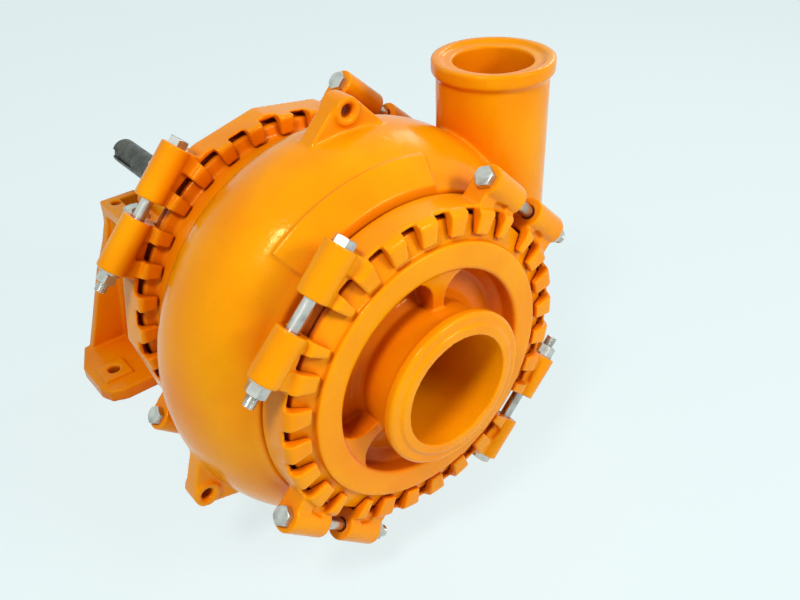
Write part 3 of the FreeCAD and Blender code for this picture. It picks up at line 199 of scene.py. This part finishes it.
# ---------------------------------------------------------------- settings

class PaintSettings(bpy.types.PropertyGroup):
    """The enamel on the castings, with the colours of the painted shade in their hollows and bores."""
    colour: bpy.props.FloatVectorProperty(name="Enamel", description="Colour of the enamel", subtype="COLOR",
                                          size=3, min=0, max=1, default=(0.93, 0.345, 0.001))
    deep: bpy.props.FloatVectorProperty(name="Thick enamel", description="Colour where the enamel lies thick",
                                        subtype="COLOR", size=3, min=0, max=1, default=(0.88, 0.265, 0.001))
    # hollow and depth are painted shade: darker, redder enamel laid into recesses and deep bores.
    hollow: bpy.props.FloatVectorProperty(name="Painted shade in hollows", description="Colour of the painted shade in recesses",
                                          subtype="COLOR", size=3, min=0, max=1, default=(0.80, 0.15, 0.001))
    depth: bpy.props.FloatVectorProperty(name="Painted shade in bores", description="Colour of the painted shade deep in bores",
                                         subtype="COLOR", size=3, min=0, max=1, default=(0.30, 0.035, 0.001))
    grime: bpy.props.FloatVectorProperty(name="Grime", description="Colour of the dirt in hollows",
                                         subtype="COLOR", size=3, min=0, max=1, default=(0.12, 0.035, 0.008))
    sheen: bpy.props.FloatVectorProperty(name="Reflection tint", description="Tint of the reflections",
                                         subtype="COLOR", size=3, min=0, max=1, default=(1.0, 0.75, 0.30))
    lump_height: bpy.props.FloatProperty(name="Lump height", description="Height of the cast surface's lumps",
                                         default=0.0005, min=0, unit="LENGTH", precision=5)
    lump_size: bpy.props.FloatProperty(name="Lump size", description="Spacing of the cast surface's lumps",
                                       default=0.022, min=0.001, unit="LENGTH")


class CastingSettings(bpy.types.PropertyGroup):
    """How finely the cast skins are made."""
    large_cell: bpy.props.FloatProperty(name="Large cell", description="Cell size on the bowl and base",
                                        default=0.0022, min=0.001, unit="LENGTH", precision=4)
    fine_cell: bpy.props.FloatProperty(name="Fine cell", description="Cell size on the clamp rings and door",
                                       default=0.0015, min=0.0008, unit="LENGTH", precision=4)
    face_limit: bpy.props.IntProperty(name="Triangle limit", description="Most triangles in one cast skin",
                                      default=180000, min=1000)


class FastenerSettings(bpy.types.PropertyGroup):
    """Bolts and nuts."""
    thread_pitch: bpy.props.FloatProperty(name="Thread pitch", description="Distance from crest to crest",
                                          default=0.002, min=0.0005, unit="LENGTH", precision=4)
    thread_length: bpy.props.FloatProperty(name="Thread length", description="Length of a bolt's thread",
                                           default=0.044, min=0.005, unit="LENGTH")
    zinc: bpy.props.FloatVectorProperty(name="Zinc", description="Colour of the plating", subtype="COLOR",
                                        size=3, min=0, max=1, default=(0.62, 0.60, 0.55))


class StageSettings(bpy.types.PropertyGroup):
    """Floor, lights and camera."""
    floor_colour: bpy.props.FloatVectorProperty(name="Floor", description="Colour of the floor",
                                                subtype="COLOR", size=3, min=0, max=1,
                                                default=(0.83, 0.945, 0.955))
    ambient: bpy.props.FloatProperty(name="Ambient light", description="Strength of the light from all round",
                                     default=0.26, min=0)
    lens: bpy.props.FloatProperty(name="Lens", description="Focal length", default=37.476, min=10, max=200,
                                  subtype="DISTANCE_CAMERA")
    azimuth: bpy.props.FloatProperty(name="Azimuth", description="Where the camera stands round the pump",
                                     default=math.radians(-36.28), subtype="ANGLE")
    height: bpy.props.FloatProperty(name="Height angle", description="How far up the camera stands",
                                    default=math.radians(33.42), subtype="ANGLE")
    roll: bpy.props.FloatProperty(name="Roll", description="Turn of the camera about its view",
                                  default=math.radians(-3.53), subtype="ANGLE")
    distance: bpy.props.FloatProperty(name="Distance", description="From the camera to its target",
                                      default=1.12305, min=0.1, unit="LENGTH")


# ---------------------------------------------------------------- finishes

def finish_named(name):
    """An empty surface finish: its graph, its shader and the object's own coordinates."""
    finish = bpy.data.materials.new(name)
    finish.use_nodes = True
    finish.node_tree.nodes.clear()
    graph = Graph(finish.node_tree)
    shader = graph.add("ShaderNodeBsdfPrincipled")
    graph.add("ShaderNodeOutputMaterial", {"Surface": shader.outputs[0]})
    place = graph.add("ShaderNodeTexCoord").outputs["Object"]
    return finish, graph, shader, place


def noise(graph, place, scale, detail=3.0, roughness=0.5, stretch=None):
    """A noise pattern's value."""
    if stretch:
        place = graph.add("ShaderNodeMapping", {"Vector": place, "Scale": stretch}).outputs[0]
    return graph.add("ShaderNodeTexNoise", {"Vector": place, "Scale": scale, "Detail": detail,
                                            "Roughness": roughness}).outputs[0]


def spread(graph, value, low, high, to_low=0.0, to_high=1.0):
    """A value moved from one range to another, held at its ends."""
    return graph.add("ShaderNodeMapRange", {"Value": value, "From Min": low, "From Max": high,
                                            "To Min": to_low, "To Max": to_high}).outputs[0]


def blended(graph, share, first, second):
    """A colour mixed from two."""
    pair = [value if isinstance(value, bpy.types.NodeSocket) else (*value, 1.0) for value in (first, second)]
    return graph.add("ShaderNodeMix", {0: share, 6: pair[0], 7: pair[1]}, data_type="RGBA").outputs[2]


def bumped(graph, *layers):
    """A surface normal with several layers of bumps, each a (value, height) pair, the coarsest first."""
    normal = None
    for value, height in layers:
        inputs = {"Height": value, "Distance": height, "Strength": 1.0}
        if normal:
            inputs["Normal"] = normal
        normal = graph.add("ShaderNodeBump", inputs).outputs[0]
    return normal


PAINTED_SHADE_REACH = 0.11
GRIME_SHARE = 0.5
SPECK_SHARE = 0.35


def enamel_finish(name, settings):
    """Glossy brushed-on enamel over a sand casting, with painted shade in its hollows and bores."""
    finish, graph, shader, place = finish_named(name)
    broad = noise(graph, place, 9.0, 3.0)
    fine = noise(graph, place, 160.0, 3.0)
    colour = blended(graph, spread(graph, broad, 0.35, 0.7), settings.colour, settings.deep)
    hollow = graph.add("ShaderNodeNewGeometry").outputs["Pointiness"]
    caught = spread(graph, hollow, 0.485, 0.40)
    dirt = graph.math("MULTIPLY", caught, spread(graph, fine, 0.3, 0.7), clamp=True)
    colour = blended(graph, graph.math("MULTIPLY", dirt, GRIME_SHARE), colour, settings.grime)
    speck = spread(graph, noise(graph, place, 420.0, 2.0), 0.70, 0.76)
    colour = blended(graph, graph.math("MULTIPLY", speck, SPECK_SHARE), colour, settings.grime)
    # Painted shade: where ambient occlusion finds the enamel enclosed, it is darkened and reddened, and
    # darker still deep in bores.
    painted_shade_openness = graph.add("ShaderNodeAmbientOcclusion", {"Distance": PAINTED_SHADE_REACH}, samples=8).outputs["AO"]
    colour = blended(graph, spread(graph, painted_shade_openness, 0.35, 0.9, 0.85, 0.0), colour, settings.hollow)
    colour = blended(graph, spread(graph, painted_shade_openness, 0.12, 0.36, 0.8, 0.0), colour, settings.depth)
    graph.tree.links.new(colour, shader.inputs["Base Color"])
    graph.tree.links.new(spread(graph, noise(graph, place, 30.0, 4.0), 0.3, 0.7, 0.13, 0.26),
                         shader.inputs["Roughness"])
    shader.inputs["Specular IOR Level"].default_value = 0.2
    shader.inputs["Specular Tint"].default_value = (*settings.sheen, 1)
    sand = noise(graph, place, 700.0, 2.0)
    peel = noise(graph, place, 240.0, 2.0)
    brush = noise(graph, place, 55.0, 3.0)
    surface = bumped(graph, (brush, 0.0007), (peel, 0.00018), (sand, 0.00004))
    graph.tree.links.new(surface, shader.inputs["Normal"])
    return finish


def metal_finish(name, colour, rough, grime, streak=(1, 1, 1), metallic=1.0):
    """Bare or plated metal with fine marks, dull patches and dirt."""
    finish, graph, shader, place = finish_named(name)
    patches = noise(graph, place, 60.0, 4.0)
    marks = noise(graph, place, 900.0, 2.0, stretch=streak)
    dark = tuple(channel * grime for channel in colour)
    tone = blended(graph, spread(graph, patches, 0.42, 0.72), colour, dark)
    tone = blended(graph, spread(graph, marks, 0.62, 0.8, 0.0, 0.5), tone, dark)
    graph.tree.links.new(tone, shader.inputs["Base Color"])
    dullness = spread(graph, patches, 0.3, 0.7, rough * 0.8, rough * 1.35)
    graph.tree.links.new(dullness, shader.inputs["Roughness"])
    shader.inputs["Metallic"].default_value = metallic
    graph.tree.links.new(bumped(graph, (patches, 0.0002), (marks, 0.00006)), shader.inputs["Normal"])
    return finish


def soft_finish(name, colour, rough, weave):
    """Rubber or packing: matt, with a small even texture."""
    finish, graph, shader, place = finish_named(name)
    grain = noise(graph, place, weave, 2.0)
    dark = tuple(channel * 0.55 for channel in colour)
    tone = blended(graph, spread(graph, grain, 0.35, 0.65), colour, dark)
    graph.tree.links.new(tone, shader.inputs["Base Color"])
    dullness = spread(graph, grain, 0.3, 0.7, rough, min(1.0, rough * 1.2))
    graph.tree.links.new(dullness, shader.inputs["Roughness"])
    graph.tree.links.new(bumped(graph, (grain, 0.0003)), shader.inputs["Normal"])
    return finish


FINISHES = {}
ALONG_SHAFT = (0.05, 1, 0.05)


def finish_of(slot):
    """The finish for one of the record's material slots."""
    scene = bpy.context.scene
    if not FINISHES:
        FINISHES["orange_paint"] = enamel_finish("orange_enamel", scene.pump_paint)
        FINISHES["zinc_steel"] = metal_finish("zinc_plate", tuple(scene.pump_fasteners.zinc), 0.30, 0.55)
        FINISHES["machined_steel"] = metal_finish("turned_steel", (0.42, 0.42, 0.41), 0.32, 0.6, ALONG_SHAFT)
        FINISHES["dark_steel"] = metal_finish("oiled_steel", (0.10, 0.10, 0.085), 0.40, 0.5)
        FINISHES["hard_iron"] = metal_finish("hard_iron", (0.20, 0.20, 0.205), 0.55, 0.6, metallic=0.8)
        FINISHES["brass"] = metal_finish("dull_brass", (0.60, 0.42, 0.16), 0.35, 0.6)
        FINISHES["seal_rubber"] = soft_finish("seal_rubber", (0.03, 0.03, 0.03), 0.7, 500.0)
        FINISHES["packing_fibre"] = soft_finish("packing_fibre", (0.45, 0.40, 0.30), 0.8, 300.0)
    return FINISHES[slot]


# ---------------------------------------------------------------- castings


def casting_tree():
    """Softens a casting's edges, raises the lumps of its sand mould and keeps it inside its box."""
    graph, source = geometry_tree("sand_casting", [
        ("Rounding", "NodeSocketInt", 4), ("Lump Height", "NodeSocketFloat", 0.0004),
        ("Lump Size", "NodeSocketFloat", 0.02), ("Seed", "NodeSocketFloat", 3.0),
        ("Low Corner", "NodeSocketVector", None), ("High Corner", "NodeSocketVector", None),
        ("Material", "NodeSocketMaterial", None)])
    place = graph.add("GeometryNodeInputPosition").outputs[0]
    blur = graph.add("GeometryNodeBlurAttribute", data_type="FLOAT_VECTOR")
    vector_input = next(socket for socket in blur.inputs if socket.enabled and socket.type == "VECTOR")
    graph.tree.links.new(place, vector_input)
    graph.tree.links.new(source["Rounding"], blur.inputs["Iterations"])
    rounded = next(socket for socket in blur.outputs if socket.enabled)
    soft = graph.add("GeometryNodeSetPosition",
                     {"Geometry": source["Geometry"], "Position": rounded}).outputs[0]
    lumps = graph.add("ShaderNodeTexNoise", {"Vector": place, "W": source["Seed"], "Detail": 1.0,
                                             "Scale": graph.math("DIVIDE", 1.0, source["Lump Size"])},
                      noise_dimensions="4D").outputs[0]
    height = graph.math("MULTIPLY", graph.math("SUBTRACT", lumps, 0.5), source["Lump Height"])
    normal = graph.add("GeometryNodeInputNormal").outputs[0]
    moved = graph.vector("ADD", place, graph.scaled(normal, height))
    raised = graph.vector("MAXIMUM", moved, source["Low Corner"])
    held = graph.vector("MINIMUM", raised, source["High Corner"])
    lumpy = graph.add("GeometryNodeSetPosition", {"Geometry": soft, "Position": held}).outputs[0]
    real = graph.add("GeometryNodeRealizeInstances", {"Geometry": lumpy}).outputs[0]
    smooth = graph.add("GeometryNodeSetShadeSmooth", {"Geometry": real, "Shade Smooth": True}).outputs[0]
    painted = graph.add("GeometryNodeSetMaterial",
                        {"Geometry": smooth, "Material": source["Material"]}).outputs[0]
    graph.add("NodeGroupOutput", {"Geometry": painted})
    return graph.tree


def cast_skin(node, tree, cell, rounding):
    """A cast piece over a CAD node: an even skin with soft edges and a slightly lumpy surface."""
    scene = bpy.context.scene
    piece = merged_copy(node, f"cast_{node}")
    remesh = piece.modifiers.new("even_skin", "REMESH")
    remesh.mode = "VOXEL"
    remesh.voxel_size = cell
    remesh.use_smooth_shade = True
    low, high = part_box(node)
    add_tree(piece, tree, Rounding=rounding, Lump_Height=scene.pump_paint.lump_height,
             Lump_Size=scene.pump_paint.lump_size, Seed=float(len(node)), Low_Corner=low, High_Corner=high,
             Material=finish_of(SLOT_OF[node]))
    settle(piece)
    triangles = sum(len(face.vertices) - 2 for face in piece.data.polygons)
    limit = scene.pump_casting.face_limit
    if triangles > limit:
        thin = piece.modifiers.new("thin", "DECIMATE")
        thin.ratio = limit / triangles
        settle(piece)
    dress(piece, node)
    return piece


def machined_skin(node, width=0.0006, finish=None):
    """A machined piece over a CAD node: crisp, with small broken edges."""
    piece = merged_copy(node, f"turned_{node}")
    bevel = piece.modifiers.new("broken_edges", "BEVEL")
    bevel.width = width
    bevel.segments = 2
    bevel.limit_method = "ANGLE"
    bevel.angle_limit = SHARP_ANGLE
    for face in piece.data.polygons:
        face.use_smooth = True
    piece.data.materials.append(finish or finish_of(SLOT_OF[node]))
    even = piece.modifiers.new("even_normals", "WEIGHTED_NORMAL")
    even.keep_sharp = True
    settle(piece)
    dress(piece, node)
    return piece


class PUMP_OT_castings(bpy.types.Operator):
    """Makes the painted castings: bowl, door, base, clamp segments and bearing housing"""
    bl_idname = "pump.castings"
    bl_label = "Castings"

    def execute(self, context):
        sizes = context.scene.pump_casting
        tree = casting_tree()
        for node in ("pump_bowl", "pump_base"):
            cast_skin(node, tree, sizes.large_cell, 2)
        cast_skin("throat_door", tree, sizes.fine_cell, 2)
        cast_skin("bearing_housing", tree, sizes.fine_cell * 1.2, 3)
        for ring in ("door", "frame"):
            for number in range(1, 5):
                cast_skin(f"{ring}_clamp_segment_{number}", tree, sizes.fine_cell, 3)
        for node in ("gland", "stuffing_box", "impeller"):
            cast_skin(node, tree, sizes.fine_cell * 1.2, 2)
        return {"FINISHED"}


# ---------------------------------------------------------------- fasteners

def seats_from(node):
    """Where each fastener of a CAD node sits: its middle, its way to its wider end, and its two ends."""
    seats = []
    for corners in solids_of(node):
        middle = corners.mean(0)
        axes = np.linalg.svd(corners - middle, full_matrices=False)[2]
        lengths = np.ptp((corners - middle) @ axes.T, axis=0)
        odd = int(np.argmax(np.abs(lengths - np.median(lengths))))
        axis = axes[odd]
        along = (corners - middle) @ axis
        across = np.linalg.norm((corners - middle) - np.outer(along, axis), axis=1)
        ends = [across[along < along.min() + END_BAND].max(), across[along > along.max() - END_BAND].max()]
        if ends[0] > ends[1]:
            axis, along = -axis, -along
        seats.append((middle, axis, along.min(), along.max()))
    return seats


def seat_cloud(name, places, ways):
    """A mesh of single points, each with the direction its fastener faces."""
    mesh = bpy.data.meshes.new(name)
    mesh.from_pydata([tuple(place) for place in places], [], [])
    attribute = mesh.attributes.new("way", "FLOAT_VECTOR", "POINT")
    attribute.data.foreach_set("vector", np.array(ways, dtype=np.float32).ravel())
    return new_piece(name, mesh)


def hexagon_geometry(graph, across, height):
    """A hexagon with the corners of its top chamfered, standing on the origin."""
    corner = graph.math("DIVIDE", across, math.sqrt(3))
    prism = graph.add("GeometryNodeMeshCylinder",
                      {"Vertices": 6, "Radius": corner, "Depth": height}).outputs[0]
    top = graph.math("MULTIPLY", across, 0.475)
    foot = graph.math("ADD", top, graph.math("MULTIPLY", height, 1.732))
    cone = graph.add("GeometryNodeMeshCone", {"Vertices": 48, "Radius Top": top, "Radius Bottom": foot,
                                              "Depth": height}).outputs[0]
    half = graph.math("MULTIPLY", height, 0.5)
    lift = graph.add("ShaderNodeCombineXYZ", {"Z": half}).outputs[0]
    raised = graph.add("GeometryNodeTransform", {"Geometry": prism, "Translation": lift}).outputs[0]
    cut = graph.add("GeometryNodeMeshBoolean", operation="INTERSECT", solver="EXACT")
    graph.tree.links.new(raised, cut.inputs["Mesh 2"])
    graph.tree.links.new(cone, cut.inputs["Mesh 2"])
    return cut.outputs[0]


def threaded_geometry(graph, radius, length, pitch):
    """A threaded length of rod, going down from the origin."""
    turns = graph.math("DIVIDE", length, pitch)
    rows = graph.math("CEIL", graph.math("MULTIPLY", turns, 6.0))
    rod = graph.add("GeometryNodeMeshCylinder", {"Vertices": 30, "Radius": radius, "Depth": length,
                                                 "Side Segments": rows}).outputs[0]
    place = graph.add("GeometryNodeInputPosition").outputs[0]
    parts = graph.add("ShaderNodeSeparateXYZ", {0: place}).outputs
    turn = graph.math("DIVIDE", graph.math("ARCTAN2", parts["Y"], parts["X"]), 2 * math.pi)
    phase = graph.math("FRACT", graph.math("SUBTRACT", graph.math("DIVIDE", parts["Z"], pitch), turn))
    ridge = graph.math("ABSOLUTE", graph.math("SUBTRACT", phase, 0.5))
    depth = graph.math("MULTIPLY", graph.math("DIVIDE", pitch, radius), 1.1)
    factor = graph.math("SUBTRACT", 1.0, graph.math("MULTIPLY", ridge, depth))
    shaped = graph.vector("MULTIPLY", place, graph.add("ShaderNodeCombineXYZ",
                                                       {"X": factor, "Y": factor, "Z": 1.0}).outputs[0])
    cut = graph.add("GeometryNodeSetPosition", {"Geometry": rod, "Position": shaped}).outputs[0]
    drop = graph.add("ShaderNodeCombineXYZ", {"Z": graph.math("MULTIPLY", length, -0.5)}).outputs[0]
    return graph.add("GeometryNodeTransform", {"Geometry": cut, "Translation": drop}).outputs[0]


def shifted(graph, geometry, distance):
    """Geometry moved along its own axis."""
    step = graph.add("ShaderNodeCombineXYZ", {"Z": distance}).outputs[0]
    return graph.add("GeometryNodeTransform", {"Geometry": geometry, "Translation": step}).outputs[0]


def on_seats(graph, source, fastener):
    """A fastener put on every seat, turned to face the seat's way."""
    way = graph.add("GeometryNodeInputNamedAttribute", {"Name": "way"}, data_type="FLOAT_VECTOR").outputs[0]
    turn = graph.add("FunctionNodeAlignRotationToVector", {"Vector": way}, axis="Z").outputs[0]
    points = graph.add("GeometryNodeMeshToPoints", {"Mesh": source["Geometry"]}).outputs[0]
    return graph.add("GeometryNodeInstanceOnPoints", {"Points": points, "Instance": fastener,
                                                      "Rotation": turn}).outputs[0]


def bolt_tree():
    """Hexagon bolts on their seats: chamfered head, plain shank and threaded end."""
    graph, source = geometry_tree("hexagon_bolt", [
        ("Across", "NodeSocketFloat", 0.024), ("Head Height", "NodeSocketFloat", 0.010),
        ("Radius", "NodeSocketFloat", 0.008), ("Length", "NodeSocketFloat", 0.2),
        ("Thread Length", "NodeSocketFloat", 0.04), ("Pitch", "NodeSocketFloat", 0.002),
        ("Material", "NodeSocketMaterial", None)])
    head = hexagon_geometry(graph, source["Across"], source["Head Height"])
    plain = graph.math("SUBTRACT", source["Length"], source["Thread Length"])
    shank = graph.add("GeometryNodeMeshCylinder", {"Vertices": 40, "Radius": source["Radius"],
                                                   "Depth": plain}).outputs[0]
    shank = shifted(graph, shank, graph.math("MULTIPLY", plain, -0.5))
    thread = threaded_geometry(graph, source["Radius"], source["Thread Length"], source["Pitch"])
    thread = shifted(graph, thread, graph.math("MULTIPLY", plain, -1.0))
    joined = graph.add("GeometryNodeJoinGeometry")
    for geometry in (head, shank, thread):
        graph.tree.links.new(geometry, joined.inputs[0])
    return end_tree(graph, on_seats(graph, source, joined.outputs[0]), source["Material"])


def nut_tree():
    """Hexagon nuts on their seats, each with a hole."""
    graph, source = geometry_tree("hexagon_nut", [
        ("Across", "NodeSocketFloat", 0.024), ("Height", "NodeSocketFloat", 0.013),
        ("Radius", "NodeSocketFloat", 0.008), ("Material", "NodeSocketMaterial", None)])
    body = hexagon_geometry(graph, source["Across"], source["Height"])
    hole = graph.add("GeometryNodeMeshCylinder",
                     {"Vertices": 40, "Radius": source["Radius"], "Depth": 0.1}).outputs[0]
    cut = graph.add("GeometryNodeMeshBoolean", {"Mesh 1": body, "Mesh 2": hole}, operation="DIFFERENCE",
                    solver="EXACT").outputs[0]
    return end_tree(graph, on_seats(graph, source, cut), source["Material"])


def width_across(node):
    """The width across the flats of a CAD node's hexagons, from its widest corners."""
    middle, axis, _, _ = seats_from(node)[0]
    corners = solids_of(node)[0] - middle
    reach = np.linalg.norm(corners - np.outer(corners @ axis, axis), axis=1).max()
    return float(reach * math.sqrt(3))


def make_bolts(node, tree, head_height, radius):
    """Detailed bolts over the plain ones of a CAD node."""
    settings = bpy.context.scene.pump_fasteners
    seats = seats_from(node)
    places = [middle + axis * (high - head_height) for middle, axis, _, high in seats]
    piece = seat_cloud(f"plated_{node}", places, [axis for _, axis, _, _ in seats])
    length = float(np.mean([high - low for _, _, low, high in seats])) - head_height
    add_tree(piece, tree, Across=width_across(node), Head_Height=head_height, Radius=radius, Length=length,
             Thread_Length=min(settings.thread_length, length * 0.5), Pitch=settings.thread_pitch,
             Material=finish_of(SLOT_OF[node]))
    dress(settle(piece), node)


def make_nuts(node, tree, radius):
    """Detailed nuts over the plain ones of a CAD node."""
    seats = seats_from(node)
    places = [middle + axis * low for middle, axis, low, _ in seats]
    piece = seat_cloud(f"plated_{node}", places, [axis for _, axis, _, _ in seats])
    height = float(np.mean([high - low for _, _, low, high in seats]))
    add_tree(piece, tree, Across=width_across(node), Height=height, Radius=radius,
             Material=finish_of(SLOT_OF[node]))
    dress(settle(piece), node)


class PUMP_OT_fasteners(bpy.types.Operator):
    """Makes the clamp bolts, nuts and the other screws"""
    bl_idname = "pump.fasteners"
    bl_label = "Fasteners"

    def execute(self, context):
        bolts, nuts = bolt_tree(), nut_tree()
        for ring in ("door", "frame"):
            make_bolts(f"{ring}_clamp_bolts", bolts, 0.010, 0.008)
            make_nuts(f"{ring}_clamp_nuts", nuts, 0.0082)
            machined_skin(f"{ring}_clamp_washers", 0.0004)
        make_bolts("adjusting_screw", bolts, 0.015, 0.012)
        make_bolts("bearing_clamp_bolts", bolts, 0.008, 0.006)
        for node in ("gland_nuts", "adjusting_nuts", "gland_studs", "bearing_clamp_plates", "grease_nipples",
                     "pump_end_cover_screws", "drive_end_cover_screws", "stuffing_box_screws"):
            machined_skin(node, 0.0004)
        return {"FINISHED"}


# ---------------------------------------------------------------- shaft, covers and hidden pieces

class PUMP_OT_turned_pieces(bpy.types.Operator):
    """Makes the turned steel pieces: shaft, sleeve, covers and labyrinths"""
    bl_idname = "pump.turned_pieces"
    bl_label = "Turned pieces"

    def execute(self, context):
        oiled = metal_finish("oiled_shaft", (0.11, 0.105, 0.09), 0.42, 0.5, ALONG_SHAFT)
        machined_skin("shaft", finish=oiled)
        for node in ("shaft_sleeve", "shaft_spacer", "pump_end_cover", "drive_end_cover",
                     "pump_end_labyrinth", "drive_end_labyrinth", "frame_plate"):
            machined_skin(node)
        return {"FINISHED"}


class PUMP_OT_hidden_pieces(bpy.types.Operator):
    """Gives every CAD solid its finish, the enclosed ones included"""
    bl_idname = "pump.hidden_pieces"
    bl_label = "Hidden pieces"

    def execute(self, context):
        for name, node in NODES.items():
            node.data.materials.clear()
            node.data.materials.append(finish_of(SLOT_OF[name]))
        return {"FINISHED"}


# ---------------------------------------------------------------- stage

def soft_light(name, place, target, size, power):
    """A soft white lamp that faces a point."""
    lamp = bpy.data.lights.new(name, "AREA")
    lamp.shape = "RECTANGLE"
    lamp.size, lamp.size_y = size
    lamp.energy = power
    light = bpy.data.objects.new(name, lamp)
    light.location = place
    light.rotation_euler = (Vector(target) - Vector(place)).to_track_quat("-Z", "Y").to_euler()
    bpy.context.scene.collection.objects.link(light)


def seen_directly(graph):
    """1 for camera, mirror and see-through rays, and 0 for the rays that light the pump."""
    rays = graph.add("ShaderNodeLightPath").outputs
    seen = graph.math("ADD", rays["Is Camera Ray"], rays["Is Glossy Ray"])
    return graph.math("ADD", seen, rays["Is Transmission Ray"], clamp=True)


def floor_finish(colour):
    """A pale floor that looks even and still takes the pump's shadow."""
    finish, graph, shader, _ = finish_named("pale_floor")
    shader.inputs["Base Color"].default_value = (*colour, 1)
    shader.inputs["Roughness"].default_value = 0.9
    shader.inputs["Specular IOR Level"].default_value = 0.1
    glow = graph.add("ShaderNodeEmission", {"Color": (*colour, 1), "Strength": 1.0}).outputs[0]
    share = graph.math("MULTIPLY", seen_directly(graph), 0.82)
    mixed = graph.add("ShaderNodeMixShader", {0: share, 1: shader.outputs[0], 2: glow}).outputs[0]
    output = next(node for node in graph.tree.nodes if node.type == "OUTPUT_MATERIAL")
    graph.tree.links.new(mixed, output.inputs["Surface"])
    return finish


def studio_world(colour, ambient):
    """An even pale surround, with a plain level of light of its own."""
    world = bpy.data.worlds.new("studio")
    world.use_nodes = True
    world.node_tree.nodes.clear()
    graph = Graph(world.node_tree)
    light = graph.add("ShaderNodeBackground", {"Color": (1, 1, 1, 1), "Strength": ambient}).outputs[0]
    backdrop = graph.add("ShaderNodeBackground", {"Color": (*colour, 1), "Strength": 1.0}).outputs[0]
    mixed = graph.add("ShaderNodeMixShader", {0: seen_directly(graph), 1: light, 2: backdrop}).outputs[0]
    graph.add("ShaderNodeOutputWorld", {"Surface": mixed})
    return world


SENSOR_WIDTH = 36
CAMERA_SHIFT = (0.0382, -0.0239)


def add_camera(settings, target):
    """The camera, rolled slightly about its view."""
    camera = bpy.data.cameras.new("camera")
    camera.lens = settings.lens
    camera.sensor_width = SENSOR_WIDTH
    camera.shift_x, camera.shift_y = CAMERA_SHIFT
    flat = math.cos(settings.height)
    outward = Vector((math.sin(settings.azimuth) * flat, -math.cos(settings.azimuth) * flat,
                      math.sin(settings.height)))
    view = bpy.data.objects.new("camera", camera)
    turn = (-outward).to_track_quat("-Z", "Y").to_matrix().to_4x4() @ Matrix.Rotation(settings.roll, 4, "Z")
    view.matrix_world = Matrix.Translation(target + outward * settings.distance) @ turn
    bpy.context.scene.collection.objects.link(view)
    bpy.context.scene.camera = view


TARGET = Vector((0.02203, 0.199, 0.05331))
FLOOR_HALF = 12.0
LAMPS = (
    ("front", (1.02, -2.2, 1.4), (0.9, 0.6), 38),
    ("side", (-1.29, -0.75, 2.13), (0.45, 0.45), 40),
    ("rim", (2.1, 0.8, 1.3), (0.8, 0.8), 8),
)


class PUMP_OT_stage(bpy.types.Operator):
    """Makes the floor, the lights and the camera"""
    bl_idname = "pump.stage"
    bl_label = "Stage"

    def execute(self, context):
        settings = context.scene.pump_stage
        half = FLOOR_HALF
        mesh = bpy.data.meshes.new("floor")
        mesh.from_pydata([(-half, -half, FLOOR_Z), (half, -half, FLOOR_Z), (half, half, FLOOR_Z),
                          (-half, half, FLOOR_Z)], [], [(0, 1, 2, 3)])
        floor = new_piece("floor", mesh)
        mesh.materials.append(floor_finish(settings.floor_colour))
        context.scene.world = studio_world(settings.floor_colour, settings.ambient)
        for name, offset, size, power in LAMPS:
            soft_light(name, TARGET + Vector(offset), TARGET, size, power)
        add_camera(settings, TARGET)
        context.scene.view_settings.view_transform = "Standard"
        return {"FINISHED"}


class PUMP_PT_looks(bpy.types.Panel):
    """Lists the pump's settings and the pieces that can be made"""
    bl_idname = "PUMP_PT_looks"
    bl_label = "Slurry Pump"
    bl_space_type = "VIEW_3D"
    bl_region_type = "UI"
    bl_category = "Slurry Pump"

    def draw(self, context):
        layout = self.layout
        for name in SETTINGS:
            group = getattr(context.scene, name)
            box = layout.box()
            for key in group.bl_rna.properties.keys():
                if key not in ("rna_type", "name"):
                    box.prop(group, key)
        for operator in OPERATORS:
            layout.operator(operator.bl_idname)


SETTINGS = {"pump_paint": PaintSettings, "pump_casting": CastingSettings,
            "pump_fasteners": FastenerSettings, "pump_stage": StageSettings}
OPERATORS = (PUMP_OT_hidden_pieces, PUMP_OT_castings, PUMP_OT_fasteners, PUMP_OT_turned_pieces, PUMP_OT_stage)
CLASSES = (*SETTINGS.values(), *OPERATORS, PUMP_PT_looks)


def register():
    for item in CLASSES:
        bpy.utils.register_class(item)
    for name, group in SETTINGS.items():
        setattr(bpy.types.Scene, name, bpy.props.PointerProperty(type=group))


def unregister():
    for name in SETTINGS:
        delattr(bpy.types.Scene, name)
    for item in reversed(CLASSES):
        bpy.utils.unregister_class(item)


def main():
    """Makes every piece in order."""
    register()
    bpy.ops.pump.hidden_pieces()
    bpy.ops.pump.castings()
    bpy.ops.pump.fasteners()
    bpy.ops.pump.turned_pieces()
    bpy.ops.pump.stage()


if __name__ == "__main__":
    main()
